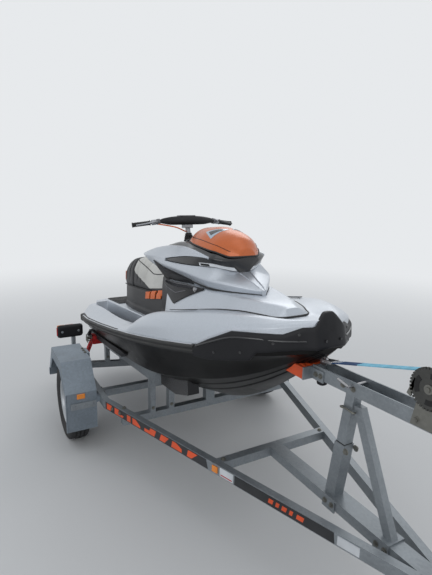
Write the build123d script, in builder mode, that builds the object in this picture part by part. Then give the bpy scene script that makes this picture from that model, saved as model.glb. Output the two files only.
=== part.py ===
from build123d import *
import math
import os

os.makedirs("parts", exist_ok=True)

# Personal watercraft on a single-axle trailer, parked on its jockey wheel.
# Row frame: +X to the bow and the coupling, +Y port, +Z up, floor at Z = 0, in mm.

# Overall placing
beam_x = 574
craft_x = beam_x - 2530
craft_z = 290
craft_pitch = 5.44

# Trailer frame
rail_top = 430
rail_h = 60
rail_w = 40
rail_half = 715
rail_rear = beam_x - 2230
bend_x = beam_x - 1000
bar_w = 80
bar_h = 50
meet_x = beam_x + 1080
bar_end = beam_x + 1260
beam_w = 50
cross_h = 50
rail_low = rail_top - rail_h

# Wheels and axle
tyre_r = 281
tyre_w = 145
rim_r = 165
wheel_gap = 52.5
track_half = rail_half + wheel_gap + tyre_w / 2
wheel_x = beam_x - 1405
arm_reach = 110
axle_tube = 50
run_gap = 0.05

# Craft station tables: s from the transom, heights above the keel line
bond_z0 = 300
bond_slope = 0.0898
sole_z = 456
neck_s = 1640
dash_s = 1420
roof_z = 790
roof_s = 1950
roof_fall = 0.0906
nose_s = 2940
bumper_s = 2480
rail_out = 24
rail_half_h = 24
bumper_t = 22

hull_table = [
    # s, keel_z, chine_y, chine_z, edge_y, band_low
    (0, 0, 430, 185, 485, rail_half_h),
    (500, 0, 460, 188, 550, rail_half_h),
    (1000, 0, 475, 195, 578, rail_half_h),
    (1450, 0, 475, 205, 586, rail_half_h),
    (1780, 8, 464, 222, 577, rail_half_h),
    (1950, 24, 448, 240, 562, rail_half_h),
    (2200, 90, 395, 280, 530, rail_half_h),
    (2400, 178, 340, 318, 486, rail_half_h),
    (bumper_s, 222, 308, 338, 462, 45),
    (2560, 268, 272, 362, 428, 60),
    (2680, 345, 208, 408, 358, 59),
    (2820, 440, 125, 478, 250, 38),
    (nose_s, 526, 42, 538, 85, 19),
]

stern_table = [
    # s, shoulder_in, shoulder_z, ridge_in, ridge_z
    (0, 11, 345, 75, 418),
    (500, 14, 378, 120, 440),
    (1000, 16, 420, 116, 446),
    (1450, 15, 460, 101, 474),
    (neck_s, 9, 482, 89, 510),
]


def roof(s):
    """Height of the neck's top at a station, level and then falling to the bow."""
    return roof_z - roof_fall * max(0, s - roof_s)


bow_table = [
    # s, band_high, shoulder_in, shoulder_z, ridge_y, ridge_z, neck_y, neck_z, roof_y, roof_z
    (neck_s, rail_half_h, 9, 482, 492, 510, 300, 470, 245, roof(neck_s)),
    (1780, rail_half_h, 7, 540, 490, 592, 318, 560, 250, roof(1780)),
    (roof_s, rail_half_h, 6, 582, 478, 640, 322, 618, 245, roof(roof_s)),
    (2200, rail_half_h, 10, 615, 445, 675, 290, 660, 198, roof(2200)),
    (2400, rail_half_h, 16, 632, 392, 700, 240, 682, 140, roof(2400)),
    (bumper_s, 33, 14, 640, 362, 706, 205, 684, 112, roof(bumper_s)),
    (2560, 70, 16, 650, 325, 710, 172, 680, 84, roof(2560)),
    (2680, 107, 18, 668, 255, 712, 115, 668, 34, 712),
    (2705, 107, 18, 670, 239, 711, 110, 667, 36, 668),
    (2820, 109, 20, 680, 160, 703, 88, 668, 40, 666),
    (nose_s, 112, 14, 690, 52, 700, 30, 694, 12, 696),
]

# Bow bumper: how far it reaches below and above the joint at each station
bumper_table = [
    # s, drop, rise
    (bumper_s, 35, 20),
    (2560, 48, 53),
    (2680, 48, 98),
    (2755, 43, 91),
    (2782, 8, 88),
    (2820, 6, 85),
    (2867, 4, 80),
    (2920, 3, 105),
    (nose_s, 3, 104),
]

# Silver cowl, up to the lip of the black band
cowl_table = [
    # s, foot_y, low_y, low_z, wide_y, wide_z, lip_y, lip_z
    (dash_s, 185, 245, 876, 275, 925, 278, 940),
    (neck_s, 225, 250, 852, 285, 898, 278, 926),
    (1780, 235, 248, 839, 285, 887, 268, 917),
    (roof_s, 225, 241, 820, 274, 868, 248, 909),
    (2140, 190, 213, 787, 238, 835, 170, 900),
    (2220, 165, 175, 775, 190, 822, 40, 869),
    (2425, 6, 12, 752, 20, 775, 8, 779),
]

# Silver upper wings over the band, on the cowl's first stations
wing_table = [
    # low_y, low_z, top_y, top_z, in_y, in_z
    (280, 950, 232, 1014, 168, 985),
    (277, 938, 216, 1030, 160, 1002),
    (270, 950, 212, 1028, 165, 1008),
    (244, 960, 214, 1008, 190, 998),
    (205, 955, 199, 966, 193, 958),
]

# Wing ends behind the dash, from the root outwards
wing_end_table = [
    # s, low_y, low_z, wide_y, wide_z, out_y, out_z, flank_y, flank_z, top_y, top_z, in_y, in_z
    (1320, 250, 893, 274, 928, 279, 940, 281, 950, 240, 996, 200, 972),
    (1205, 246, 938, 256, 942, 260, 947, 261, 953, 250, 966, 240, 955),
]

# Black surround between the wings, on the cowl's stations
surround_table = [
    # s, top_y, top_z
    (dash_s, 140, 1024),
    (neck_s, 150, 1046),
    (1780, 160, 1044),
    (roof_s, 182, 1020),
    (2140, 160, 985),
    (2220, 80, 955),
]

seat_s0 = 430
seat_base_z = 650
seat_table = [
    # s, low_y, mid_y, mid_z, top_y, top_z
    (seat_s0, 165, 160, 720, 95, 800),
    (510, 188, 180, 775, 128, 862),
    (700, 200, 188, 800, 140, 892),
    (900, 200, 186, 798, 138, 890),
    (1040, 198, 180, 762, 134, 856),
    (1180, 196, 176, 742, 128, 824),
    (1360, 190, 168, 765, 118, 842),
    (dash_s, 186, 162, 770, 112, 848),
]

pitch = math.radians(craft_pitch)
cp = math.cos(pitch)
sp = math.sin(pitch)


def point(s, y, z):
    """Row-frame point of a craft-frame point."""
    return (craft_x + s * cp - z * sp, y, craft_z + s * sp + z * cp)


def bond(s):
    """Height of the hull-to-deck joint at a station."""
    return bond_z0 + bond_slope * s


def along(rows, s):
    """Value at a station from (s, value) rows, straight between them."""
    for (s0, v0), (s1, v1) in zip(rows, rows[1:]):
        if s <= s1:
            break
    return v0 + (v1 - v0) * (s - s0) / (s1 - s0)


def edge(s):
    """Half width of the hull-to-deck joint at a station."""
    return along([(row[0], row[4]) for row in hull_table], s)


def surround_top(s):
    """Height of the surround's flat top at a station."""
    return along([(row_s, top_z) for row_s, top_y, top_z in surround_table], s)


def station(s):
    """Plane across the craft: local x is port, local y is up."""
    return Plane(origin=point(s, 0, 0), x_dir=(0, 1, 0), z_dir=(cp, 0, sp))


def side(y):
    """Plane along the craft: local x is forward, local y is up, extrudes to starboard."""
    return Plane(origin=point(0, y, 0), x_dir=(cp, 0, sp), z_dir=(0, -1, 0))


def level(z):
    """Plane level with the craft's keel line: local x is forward, local y is port."""
    return Plane(origin=point(0, 0, z), x_dir=(cp, 0, sp), z_dir=(-sp, 0, cp))


def half_section(s, points):
    """Closed section at a station from half points, mirrored over the centreline."""
    left = [(-y, z) for (y, z) in reversed(points) if y > 0.01]
    with BuildSketch(station(s)) as section:
        with BuildLine():
            Polyline(*(points + left), close=True)
        make_face()
    return section.sketch


def free_section(s, points):
    """Closed section at a station from all its points."""
    with BuildSketch(station(s)) as section:
        with BuildLine():
            Polyline(*points, close=True)
        make_face()
    return section.sketch


def row_box(x0, x1, y0, y1, z0, z1, mode=Mode.ADD):
    """Box between row-frame limits."""
    with Locations(((x0 + x1) / 2, (y0 + y1) / 2, (z0 + z1) / 2)):
        Box(x1 - x0, y1 - y0, z1 - z0, mode=mode)


def craft_box(s0, s1, y0, y1, z0, z1, mode=Mode.ADD):
    """Box between craft-frame limits."""
    with BuildSketch(level(z0)) as outline:
        with Locations(((s0 + s1) / 2, (y0 + y1) / 2)):
            Rectangle(s1 - s0, y1 - y0)
    extrude(outline.sketch, amount=z1 - z0, mode=mode)


def side_plate(y0, y1, points, mode=Mode.ADD):
    """Plate between two craft buttocks with a side outline in s and z."""
    with BuildSketch(side(y1)) as outline:
        with BuildLine():
            Polyline(*points, close=True)
        make_face()
    extrude(outline.sketch, amount=y1 - y0, mode=mode)


def row_plate(y0, y1, points, mode=Mode.ADD):
    """Plate between two row Y values with a side outline in X and Z."""
    with BuildSketch(Plane(origin=(0, y1, 0), x_dir=(1, 0, 0), z_dir=(0, -1, 0))) as outline:
        with BuildLine():
            Polyline(*points, close=True)
        make_face()
    extrude(outline.sketch, amount=y1 - y0, mode=mode)


def row_plan(z0, z1, points, mode=Mode.ADD):
    """Plate between two heights with a plan outline in X and Y."""
    with BuildSketch(Plane.XY.offset(z0)) as outline:
        with BuildLine():
            Polyline(*points, close=True)
        make_face()
    extrude(outline.sketch, amount=z1 - z0, mode=mode)


def cross_rod(x, y0, y1, z, r, mode=Mode.ADD):
    """Cylinder along Y in the row frame."""
    with BuildSketch(Plane(origin=(x, y1, z), x_dir=(1, 0, 0), z_dir=(0, -1, 0))) as disc:
        Circle(r)
    extrude(disc.sketch, amount=y1 - y0, mode=mode)


def post_rod(x, y, z0, z1, r, mode=Mode.ADD):
    """Cylinder along Z in the row frame."""
    with BuildSketch(Plane(origin=(x, y, z0), x_dir=(1, 0, 0), z_dir=(0, 0, 1))) as disc:
        Circle(r)
    extrude(disc.sketch, amount=z1 - z0, mode=mode)


# Footwell and seat base limits shared by hull, deck and mats
well_s0 = 120
well_s1 = 1600
well_in = 265
well_out0 = 372
well_out1 = 432
well_z = 335
mat_t = 8


def footwell(y_sign, z0, z1, inset, mode):
    """Footwell volume on one side, or its mat when inset."""
    with BuildSketch(level(z0)) as outline:
        with BuildLine():
            Polyline(
                (well_s0 + inset, y_sign * (well_in + inset)),
                (well_s1 - inset, y_sign * (well_in + inset)),
                (well_s1 - inset, y_sign * (well_out1 - 60 - inset)),
                (well_s1 - 170, y_sign * (well_out1 - inset)),
                (1000, y_sign * (well_out1 - 12 - inset)),
                (well_s0 + inset, y_sign * (well_out0 - inset)),
                close=True,
            )
        make_face()
    extrude(outline.sketch, amount=z1 - z0, mode=mode)


# Tunnel for the jet pump in the bottom of the hull
tunnel_s = 360
tunnel_y = 140
tunnel_z = 215
bay_s0 = 880
bay_s1 = 1620
bay_y = 205
bay_z0 = 135
bay_z1 = 330

with BuildPart() as hull:
    sections = []
    for s, keel_z, chine_y, chine_z, edge_y, band_low in hull_table:
        top = bond(s)
        points = [
            (0, keel_z),
            (chine_y, chine_z),
            (edge_y, top - band_low),
            (edge_y, top),
            (0, top),
        ]
        sections.append(half_section(s, points))
    loft(sections, ruled=True)
    for y_sign in (1, -1):
        footwell(y_sign, well_z, 700, 0, Mode.SUBTRACT)
    craft_box(-50, tunnel_s, -tunnel_y, tunnel_y, -50, tunnel_z, Mode.SUBTRACT)
    craft_box(bay_s0, bay_s1, -bay_y, bay_y, bay_z0, bay_z1, Mode.SUBTRACT)
hull.part.label = "hull"

with BuildPart() as deck:
    sections = []
    for s, sh_in, sh_z, rg_in, rg_z in stern_table:
        base = bond(s)
        edge_y = edge(s)
        points = [
            (0, base),
            (edge_y, base),
            (edge_y, base + rail_half_h),
            (edge_y - sh_in, sh_z),
            (edge_y - rg_in, rg_z),
            (well_in + 20, sole_z),
            (0, sole_z),
        ]
        sections.append(half_section(s, points))
    loft(sections, ruled=True)
    sections = []
    for s, band, sh_in, sh_z, rg_y, rg_z, nk_y, nk_z, rf_y, rf_z in bow_table:
        base = bond(s)
        edge_y = edge(s)
        points = [
            (0, base),
            (edge_y, base),
            (edge_y, base + band),
            (edge_y - sh_in, sh_z),
            (rg_y, rg_z),
            (nk_y, nk_z),
            (rf_y, rf_z),
            (0, rf_z),
        ]
        sections.append(half_section(s, points))
    loft(sections, ruled=True)
    for y_sign in (1, -1):
        footwell(y_sign, well_z, 700, 0, Mode.SUBTRACT)
deck.part.label = "deck"

with BuildPart() as engine:
    craft_box(bay_s0 + 60, bay_s1 - 60, -bay_y + 45, bay_y - 45, bay_z0, bay_z1 - 25)
engine.part.label = "engine"

# Rubber rail along both sides; its inner face lies on the hull and deck bands
rails = []
for y_sign, label in ((1, "gunwale_port"), (-1, "gunwale_starboard")):
    with BuildPart() as gunwale:
        sections = []
        for s, keel_z, chine_y, chine_z, edge_y, band_low in hull_table[:9]:
            low = bond(s) - rail_half_h
            high = bond(s) + rail_half_h
            out = edge_y + rail_out
            points = [
                (y_sign * edge_y, low),
                (y_sign * (out - 8), low),
                (y_sign * out, low + 10),
                (y_sign * out, high - 8),
                (y_sign * (out - 10), high),
                (y_sign * edge_y, high),
            ]
            sections.append(free_section(s, points))
        loft(sections, ruled=True)
    gunwale.part.label = label
    rails.append(gunwale)

# Bow bumper: two side bands and the block in front of the stem
bumper_low = bond(nose_s) - bumper_table[-1][1]
bumper_high = bond(nose_s) + bumper_table[-1][2]
front_table = [
    # s, half_width, low_z, shoulder_z, peak_z
    (nose_s, edge(nose_s) + bumper_t, bumper_low, bumper_high, 730),
    (nose_s + 24, 94, bumper_low - 8, bumper_high - 4, 733),
    (nose_s + 40, 74, bumper_low + 6, bumper_high - 24, 690),
]

with BuildPart() as bumper:
    for y_sign in (1, -1):
        sections = []
        for s, drop, rise in bumper_table:
            out = edge(s) + bumper_t
            points = [
                (y_sign * edge(s), bond(s) - drop),
                (y_sign * (out - 8), bond(s) - drop),
                (y_sign * out, bond(s) - drop + 14),
                (y_sign * out, bond(s) + rise - 16),
                (y_sign * (out - 8), bond(s) + rise),
                (y_sign * edge(s), bond(s) + rise),
            ]
            sections.append(free_section(s, points))
        loft(sections, ruled=True)
    sections = []
    for s, half_w, low_z, side_z, peak_z in front_table:
        points = [
            (0, low_z),
            (half_w - 8, low_z),
            (half_w, low_z + 14),
            (half_w, side_z - 16),
            (half_w - 8, side_z),
            (48, side_z + 2),
            (10, peak_z),
            (0, peak_z),
        ]
        sections.append(half_section(s, points))
    loft(sections, ruled=True)
bumper.part.label = "bumper"

# Console behind the neck, under the dash
with BuildPart() as console:
    low = half_section(dash_s, [(0, sole_z), (236, sole_z), (196, roof_z), (0, roof_z)])
    high = half_section(neck_s, [(0, sole_z), (264, sole_z), (236, roof_z), (0, roof_z)])
    loft([low, high], ruled=True)
console.part.label = "console"



def lower_cowl(row):
    """Half points of the cowl from the neck's top up to the band's lip."""
    s, ft_y, lo_y, lo_z, wd_y, wd_z, lp_y, lp_z = cowl_table[row]
    return [(0, roof(s)), (ft_y, roof(s)), (lo_y, lo_z), (wd_y, wd_z), (lp_y, lp_z)]


def wing_points(row):
    """Half points of an upper wing: lower edge, top and inner edge."""
    lo_y, lo_z, tp_y, tp_z, in_y, in_z = wing_table[row]
    return [(lo_y, lo_z), (tp_y, tp_z), (in_y, in_z)]


slot_row = 1
spear_row = 4
band_row = 5
bay_gap = 1.0


def core_height(row):
    """Height of the rear block's notch on the centreline, so that its inner faces are flat."""
    y, z = wing_points(row)[2]
    slot_y, slot_z = wing_points(slot_row)[2]
    return z - (slot_z - cowl_table[slot_row][7]) * y / slot_y


with BuildPart() as cowl:
    sections = []
    for row in range(slot_row + 1):
        points = lower_cowl(row) + wing_points(row) + [(0, core_height(row))]
        sections.append(half_section(cowl_table[row][0], points))
    loft(sections, ruled=True)
    sections = []
    for row in range(slot_row, len(cowl_table)):
        s, lip_z = cowl_table[row][0], cowl_table[row][7]
        sections.append(half_section(s, lower_cowl(row) + [(0, lip_z)]))
    loft(sections, ruled=True)
    for k in (1, -1):
        sections = []
        for row in range(slot_row, spear_row + 1):
            points = [(k * y, z) for y, z in wing_points(row)]
            sections.append(free_section(cowl_table[row][0], points))
        loft(sections, ruled=True)
        root = lower_cowl(0)[2:] + wing_points(0)
        sections = [free_section(dash_s, [(k * y, z) for y, z in root])]
        for s, *values in wing_end_table:
            points = list(zip(values[0::2], values[1::2]))
            sections.append(free_section(s, [(k * y, z) for y, z in points]))
        loft(sections, ruled=True)
cowl.part.label = "cowl"

with BuildPart() as surround:
    sections = []
    for row in range(slot_row + 1):
        s, top_y, top_z = surround_table[row]
        in_y, in_z = wing_points(row)[2]
        floor = core_height(row) + bay_gap
        points = [(0, floor), (in_y, in_z + bay_gap), (top_y, top_z), (0, top_z)]
        sections.append(half_section(s, points))
    loft(sections, ruled=True)
    sections = []
    for row in range(slot_row, spear_row + 1):
        s, top_y, top_z = surround_table[row]
        low, top, inner = wing_points(row)
        lip = lower_cowl(row)[4]
        sections.append(half_section(s, [(0, lip[1]), lip, low, inner, (top_y, top_z), (0, top_z)]))
    s, top_y, top_z = surround_table[band_row]
    lip = lower_cowl(band_row)[4]
    front = [(0, lip[1]), lip, (104, 935), (98, 950), (top_y, top_z), (0, top_z)]
    sections.append(half_section(s, front))
    loft(sections, ruled=True)
surround.part.label = "surround"

# Seat: dark base with side skirts, cushion on top
with BuildPart() as seat_base:
    tail = half_section(seat_s0 + 40, [(0, sole_z), (190, sole_z), (172, seat_base_z), (0, seat_base_z)])
    mid = half_section(800, [(0, sole_z), (226, sole_z), (208, seat_base_z), (0, seat_base_z)])
    head = half_section(dash_s, [(0, sole_z), (232, sole_z), (200, seat_base_z), (0, seat_base_z)])
    loft([tail, mid, head], ruled=True)
seat_base.part.label = "seat_base"

with BuildPart() as seat:
    sections = []
    for s, lo_y, md_y, md_z, tp_y, tp_z in seat_table:
        points = [
            (0, seat_base_z),
            (lo_y, seat_base_z),
            (md_y, md_z),
            (tp_y, tp_z),
            (0, tp_z + 12),
        ]
        sections.append(half_section(s, points))
    loft(sections, ruled=True)
seat.part.label = "seat"

# Dark knee panels on the neck's sides, in one node with the console
knee_in = 190
knee_out = 256
knee_gap = 2

with BuildPart() as trim_panels:
    add(console.part)
    for y0, y1 in ((knee_in, knee_out), (-knee_out, -knee_in)):
        top_z = roof_z - knee_gap
        outline = [(1535, top_z), (roof_s, top_z), (2125, roof(2125) - knee_gap), (1830, 655), (1510, 750)]
        side_plate(y0, y1, outline)
    add(deck.part, mode=Mode.SUBTRACT)
trim_panels.part.label = "console"

with BuildPart() as mats:
    for y_sign in (1, -1):
        footwell(y_sign, well_z, well_z + mat_t, 8, Mode.ADD)
mats.part.label = "footwell_mats"

# Storage lid, hinged at its rear edge on a pin held by the surround
lid_gap = 6
hinge_s = 1690
hinge_z = 1066
pin_r = 5
knuckle_y = 28
lug_y = 31
lug_t = 10

lid_table = [
    # s, half_width, top_z
    (hinge_s + 19, 95, 1090),
    (1800, 152, 1138),
    (roof_s, 180, 1140),
    (2100, 170, 1112),
    (2200, 116, 1072),
    (2262, 52, 1002),
]


def dome(s, base_z, half_w, top_z):
    """Flat-bottomed arc section at a station."""
    with BuildSketch(station(s)) as section:
        with BuildLine():
            Line((-half_w, base_z), (half_w, base_z))
            ThreePointArc((half_w, base_z), (0, top_z), (-half_w, base_z))
        make_face()
    return section.sketch


def craft_rod(s, y0, y1, z, r, mode=Mode.ADD):
    """Cylinder across the craft."""
    x, y, zz = point(s, 0, z)
    cross_rod(x, y0, y1, zz, r, mode)


with BuildPart() as lid:
    loft([dome(s, surround_top(s) + lid_gap, half_w, top_z) for s, half_w, top_z in lid_table], ruled=True)
    craft_rod(hinge_s, -knuckle_y, knuckle_y, hinge_z, pin_r + 5)
    craft_box(hinge_s, hinge_s + 37, -knuckle_y, knuckle_y, hinge_z - 4, hinge_z + 8)
    craft_rod(hinge_s, -knuckle_y - 1, knuckle_y + 1, hinge_z, pin_r + run_gap, Mode.SUBTRACT)
lid.part.label = "storage_lid"

# Steering column collar on the surround, tilted with the column
steer_s = 1474
steer_z = 1030
steer_rake = 12
column_r = 18
column_l = 136
rake = math.radians(steer_rake)


def column_point(t):
    """Craft s and z at a distance up the steering axis."""
    return (steer_s - t * math.sin(rake), steer_z + t * math.cos(rake))


def rod_between(a, b, r, mode=Mode.ADD):
    """Cylinder between two craft-frame points."""
    p = Vector(*point(*a))
    q = Vector(*point(*b))
    with BuildSketch(Plane(origin=p, z_dir=(q - p).normalized())) as disc:
        Circle(r)
    extrude(disc.sketch, amount=(q - p).length, mode=mode)


def on_side(a, k):
    """Craft-frame point moved to port or starboard."""
    return (a[0], k * a[1], a[2])


def column_rod(t0, t1, r, mode=Mode.ADD):
    """Cylinder on the steering axis."""
    s0, z0 = column_point(t0)
    s1, z1 = column_point(t1)
    rod_between((s0, 0, z0), (s1, 0, z1), r, mode)


with BuildPart() as dash:
    add(surround.part)
    column_rod(-25, 34, column_r + 14)
    column_rod(10, 40, column_r + run_gap, Mode.SUBTRACT)
    for y0 in (lug_y, -lug_y - lug_t):
        foot_z = surround_top(hinge_s) - 5
        outline = [(hinge_s - 16, foot_z), (hinge_s + 12, foot_z)]
        outline += [(hinge_s + 10, hinge_z + 12), (hinge_s - 10, hinge_z + 12)]
        side_plate(y0, y0 + lug_t, outline)
    craft_rod(hinge_s, -lug_y - lug_t, lug_y + lug_t, hinge_z, pin_r)
dash.part.label = "surround"

# Handlebar: column, clamp, sculpted centre pad and bars turn together
bar_r = 11
grip_r = 17
grip_end_y = 405
grip_l = 125
clamp_half = 32
clamp_t = 24
hub_s, hub_z = column_point(column_l)
bar_root = (hub_s, 208, hub_z + 28)
bar_tip = (hub_s - 58, grip_end_y, hub_z + 4)

pad_table = [
    # y, back, front, crown, lift: reach behind and ahead of the hub, height, rise of the underside
    (-214, 20, 20, 44, 14),
    (-112, 46, 42, 62, 0),
    (0, 54, 48, 68, 0),
    (112, 46, 42, 62, 0),
    (214, 20, 20, 44, 14),
]

with BuildPart() as handlebar:
    column_rod(14, column_l - 6, column_r)
    craft_box(hub_s - clamp_half, hub_s + clamp_half, -clamp_half, clamp_half, hub_z - clamp_t, hub_z)
    sections = []
    for y, back, front, crown, lift in pad_table:
        with BuildSketch(side(y)) as section:
            with BuildLine():
                Polyline(
                    (hub_s - 0.8 * back, hub_z + lift),
                    (hub_s + 0.8 * front, hub_z + lift),
                    (hub_s + front, hub_z + lift + 0.4 * (crown - lift)),
                    (hub_s + 0.4 * front, hub_z + crown),
                    (hub_s - 0.6 * back, hub_z + 0.92 * crown),
                    (hub_s - back, hub_z + lift + 0.4 * (crown - lift)),
                    close=True,
                )
            make_face()
        sections.append(section.sketch)
    loft(sections, ruled=True)
    for k in (1, -1):
        rod_between(on_side(bar_root, k), on_side(bar_tip, k), bar_r)
handlebar.part.label = "handlebar"

with BuildPart() as grips:
    for k in (1, -1):
        share = 1 - grip_l / (bar_tip[1] - bar_root[1])
        grip_root = [a + share * (b - a) for a, b in zip(bar_root, bar_tip)]
        rod_between(on_side(grip_root, k), on_side(bar_tip, k), grip_r)
    add(handlebar.part, mode=Mode.SUBTRACT)
grips.part.label = "grips"

with BuildPart() as sponsons:
    for y0, y1 in ((400, 526), (-526, -400)):
        side_plate(y0, y1, [(380, 208), (1380, 226), (1460, 262), (1380, 268), (400, 250)])
    add(hull.part, mode=Mode.SUBTRACT)
sponsons.part.label = "sponsons"

# Jet pump in the tunnel, steering nozzle and reverse bucket
pump_z = 108
pump_r = 80
pump_end = 62
nozzle_s = 12
pivot_r = 6
bucket_s = 32
bucket_r = 118
bucket_t = 8
arm_y = 84
arm_t = 8


def craft_axial(s0, s1, z, r0, r1, mode=Mode.ADD):
    """Round body along the craft, straight or tapered."""
    with BuildSketch(station(s0)) as tail_disc:
        with Locations((0, z)):
            Circle(r0)
    with BuildSketch(station(s1)) as head_disc:
        with Locations((0, z)):
            Circle(r1)
    loft([tail_disc.sketch, head_disc.sketch], mode=mode)


def craft_upright(s, z0, z1, r, mode=Mode.ADD):
    """Cylinder square to the keel line."""
    with BuildSketch(level(z0)) as disc:
        with Locations((s, 0)):
            Circle(r)
    extrude(disc.sketch, amount=z1 - z0, mode=mode)


with BuildPart() as pump:
    craft_axial(pump_end, tunnel_s, pump_z, pump_r - 8, pump_r)
    craft_box(pump_end + 10, tunnel_s, -75, 75, 10, 20)
    craft_box(pump_end + 40, tunnel_s, -20, 20, 15, pump_z - pump_r + 20)
    craft_axial(pump_end - 5, pump_end + 60, pump_z, 50, 50, Mode.SUBTRACT)
    for z0 in (pump_z + 58, pump_z - 68):
        craft_box(nozzle_s - 16, pump_end + 20, -16, 16, z0, z0 + 10)
        craft_upright(nozzle_s, z0 - 1, z0 + 11, pivot_r + run_gap, Mode.SUBTRACT)
    for y0 in (68, -78):
        craft_box(bucket_s - 16, pump_end + 20, y0, y0 + 10, pump_z - 16, pump_z + 16)
    craft_rod(bucket_s, 78, arm_y + arm_t, pump_z, pivot_r)
    craft_rod(bucket_s, -arm_y - arm_t, -78, pump_z, pivot_r)
pump.part.label = "jet_pump"

with BuildPart() as nozzle:
    craft_axial(-62, 30, pump_z, 38, 50)
    craft_upright(nozzle_s, pump_z - 67, pump_z + 67, pivot_r)
    craft_axial(-63, 31, pump_z, 29, 41, Mode.SUBTRACT)
nozzle.part.label = "nozzle"

low_a = math.radians(24)
high_a = math.radians(60)
mid_a = (low_a + high_a) / 2


def bucket_point(r, a):
    """Side-view point of the bucket at a radius and an angle above straight aft."""
    return (bucket_s - r * math.cos(a), pump_z + r * math.sin(a))


with BuildPart() as bucket:
    outer = bucket_r + bucket_t
    with BuildSketch(side(arm_y + arm_t)) as shell:
        with BuildLine():
            far = [bucket_point(outer, turn) for turn in (low_a, mid_a, high_a)]
            near = [bucket_point(bucket_r, turn) for turn in (high_a, mid_a, low_a)]
            ThreePointArc(*far)
            Line(far[2], near[0])
            ThreePointArc(*near)
            Line(near[2], far[0])
        make_face()
    extrude(shell.sketch, amount=2 * (arm_y + arm_t))
    for y0 in (arm_y, -arm_y - arm_t):
        reach = bucket_r + 2
        foot = (bucket_s + 12, pump_z - 12)
        heel = (bucket_s + 12, pump_z + 14)
        outline = [foot, heel, bucket_point(reach, high_a), bucket_point(reach, low_a)]
        outline += [(bucket_s - 14, pump_z - 14)]
        side_plate(y0, y0 + arm_t, outline)
    craft_rod(bucket_s, -arm_y - 2 * arm_t, arm_y + 2 * arm_t, pump_z, pivot_r + run_gap, Mode.SUBTRACT)
bucket.part.label = "reverse_bucket"

# Eyes: one on the stem, two on the transom
eye_s = 2914
eye_z = 492
eye_r = 19
eye_bar = 6
stern_eye_y = 300
stern_eye_z = 250

with BuildPart() as bow_eye:
    craft_rod(eye_s, -eye_bar, eye_bar, eye_z, eye_r + eye_bar)
    craft_rod(eye_s, -eye_bar - 1, eye_bar + 1, eye_z, eye_r - eye_bar, Mode.SUBTRACT)
    add(hull.part, mode=Mode.SUBTRACT)
    add(bumper.part, mode=Mode.SUBTRACT)
bow_eye.part.label = "bow_eye"

stern_eye_hole = 10

with BuildPart() as stern_eyes:
    for k in (1, -1):
        y0 = k * stern_eye_y - 6
        craft_box(-8, 0, y0 - 16, y0 + 28, stern_eye_z - 30, stern_eye_z + 30)
        outline = [(-8, stern_eye_z - 22), (-8, stern_eye_z + 22)]
        outline += [(-44, stern_eye_z + 14), (-44, stern_eye_z - 14)]
        side_plate(y0, y0 + 12, outline)
        craft_rod(-26, y0 - 1, y0 + 13, stern_eye_z, stern_eye_hole, Mode.SUBTRACT)
stern_eyes.part.label = "stern_eyes"

# Trailer rails: straight at the rear, then drawn in to the drawbar
rail_a = math.atan2(rail_half - bar_w / 2, meet_x - bend_x)
rail_slope = math.tan(rail_a)
inner_bend = bend_x - rail_w * math.tan(rail_a / 2)
inner_meet = meet_x - rail_w / math.sin(rail_a)


def rail_inner(x):
    """Inner face of a rail ahead of its bend."""
    return rail_half - rail_slope * (x - bend_x) - rail_w / math.cos(rail_a)


frame_parts = []
for k, label in ((1, "rail_port"), (-1, "rail_starboard")):
    with BuildPart() as rail:
        outline = [
            (rail_rear, k * rail_half),
            (bend_x, k * rail_half),
            (meet_x, k * bar_w / 2),
            (inner_meet, k * bar_w / 2),
            (inner_bend, k * (rail_half - rail_w)),
            (rail_rear, k * (rail_half - rail_w)),
        ]
        row_plan(rail_low, rail_top, outline)
    rail.part.label = label
    frame_parts.append(rail)

with BuildPart() as front_beam:
    y0 = rail_inner(beam_x - beam_w)
    y1 = rail_inner(beam_x)
    outline = [(beam_x - beam_w, y0), (beam_x, y1), (beam_x, -y1), (beam_x - beam_w, -y0)]
    row_plan(rail_top - bar_h, rail_top, outline)
front_beam.part.label = "front_beam"

with BuildPart() as drawbar:
    row_box(beam_x, bar_end, -bar_w / 2, bar_w / 2, rail_top - bar_h, rail_top)
drawbar.part.label = "drawbar"

# Bunks: carpeted boards inside, steel bars outside, both cut to the hull
bunk_y = 300
bunk_w = 76
bunk_z = 72
bar_y = 434
bunk_bar_w = 40
bunk_bar_z = 134

with BuildPart() as bunks:
    for k in (1, -1):
        outline = [(570, bunk_z), (1900, bunk_z), (2090, bunk_z + 50), (2090, 300), (570, 250)]
        side_plate(k * bunk_y - bunk_w / 2, k * bunk_y + bunk_w / 2, outline)
    add(hull.part, mode=Mode.SUBTRACT)
bunks.part.label = "bunks"

with BuildPart() as bunk_bars:
    for k in (1, -1):
        y0 = k * bar_y - bunk_bar_w / 2
        outline = [(600, bunk_bar_z), (1850, bunk_bar_z + 14), (1850, 290), (600, 260)]
        side_plate(y0, y0 + bunk_bar_w, outline)
    add(hull.part, mode=Mode.SUBTRACT)
    add(sponsons.part, mode=Mode.SUBTRACT)
bunk_bars.part.label = "bunk_bars"

mid_x = beam_x - 845
rear_x = beam_x - 1935
mid_half = rail_half - rail_slope * (mid_x + beam_w - bend_x) - 4
dip_z = 300


def craft_height(x, z):
    """Row height at a row X of a line parallel to the keel line at craft height z."""
    s = (x - craft_x + z * sp) / cp
    return craft_z + s * sp + z * cp


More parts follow.
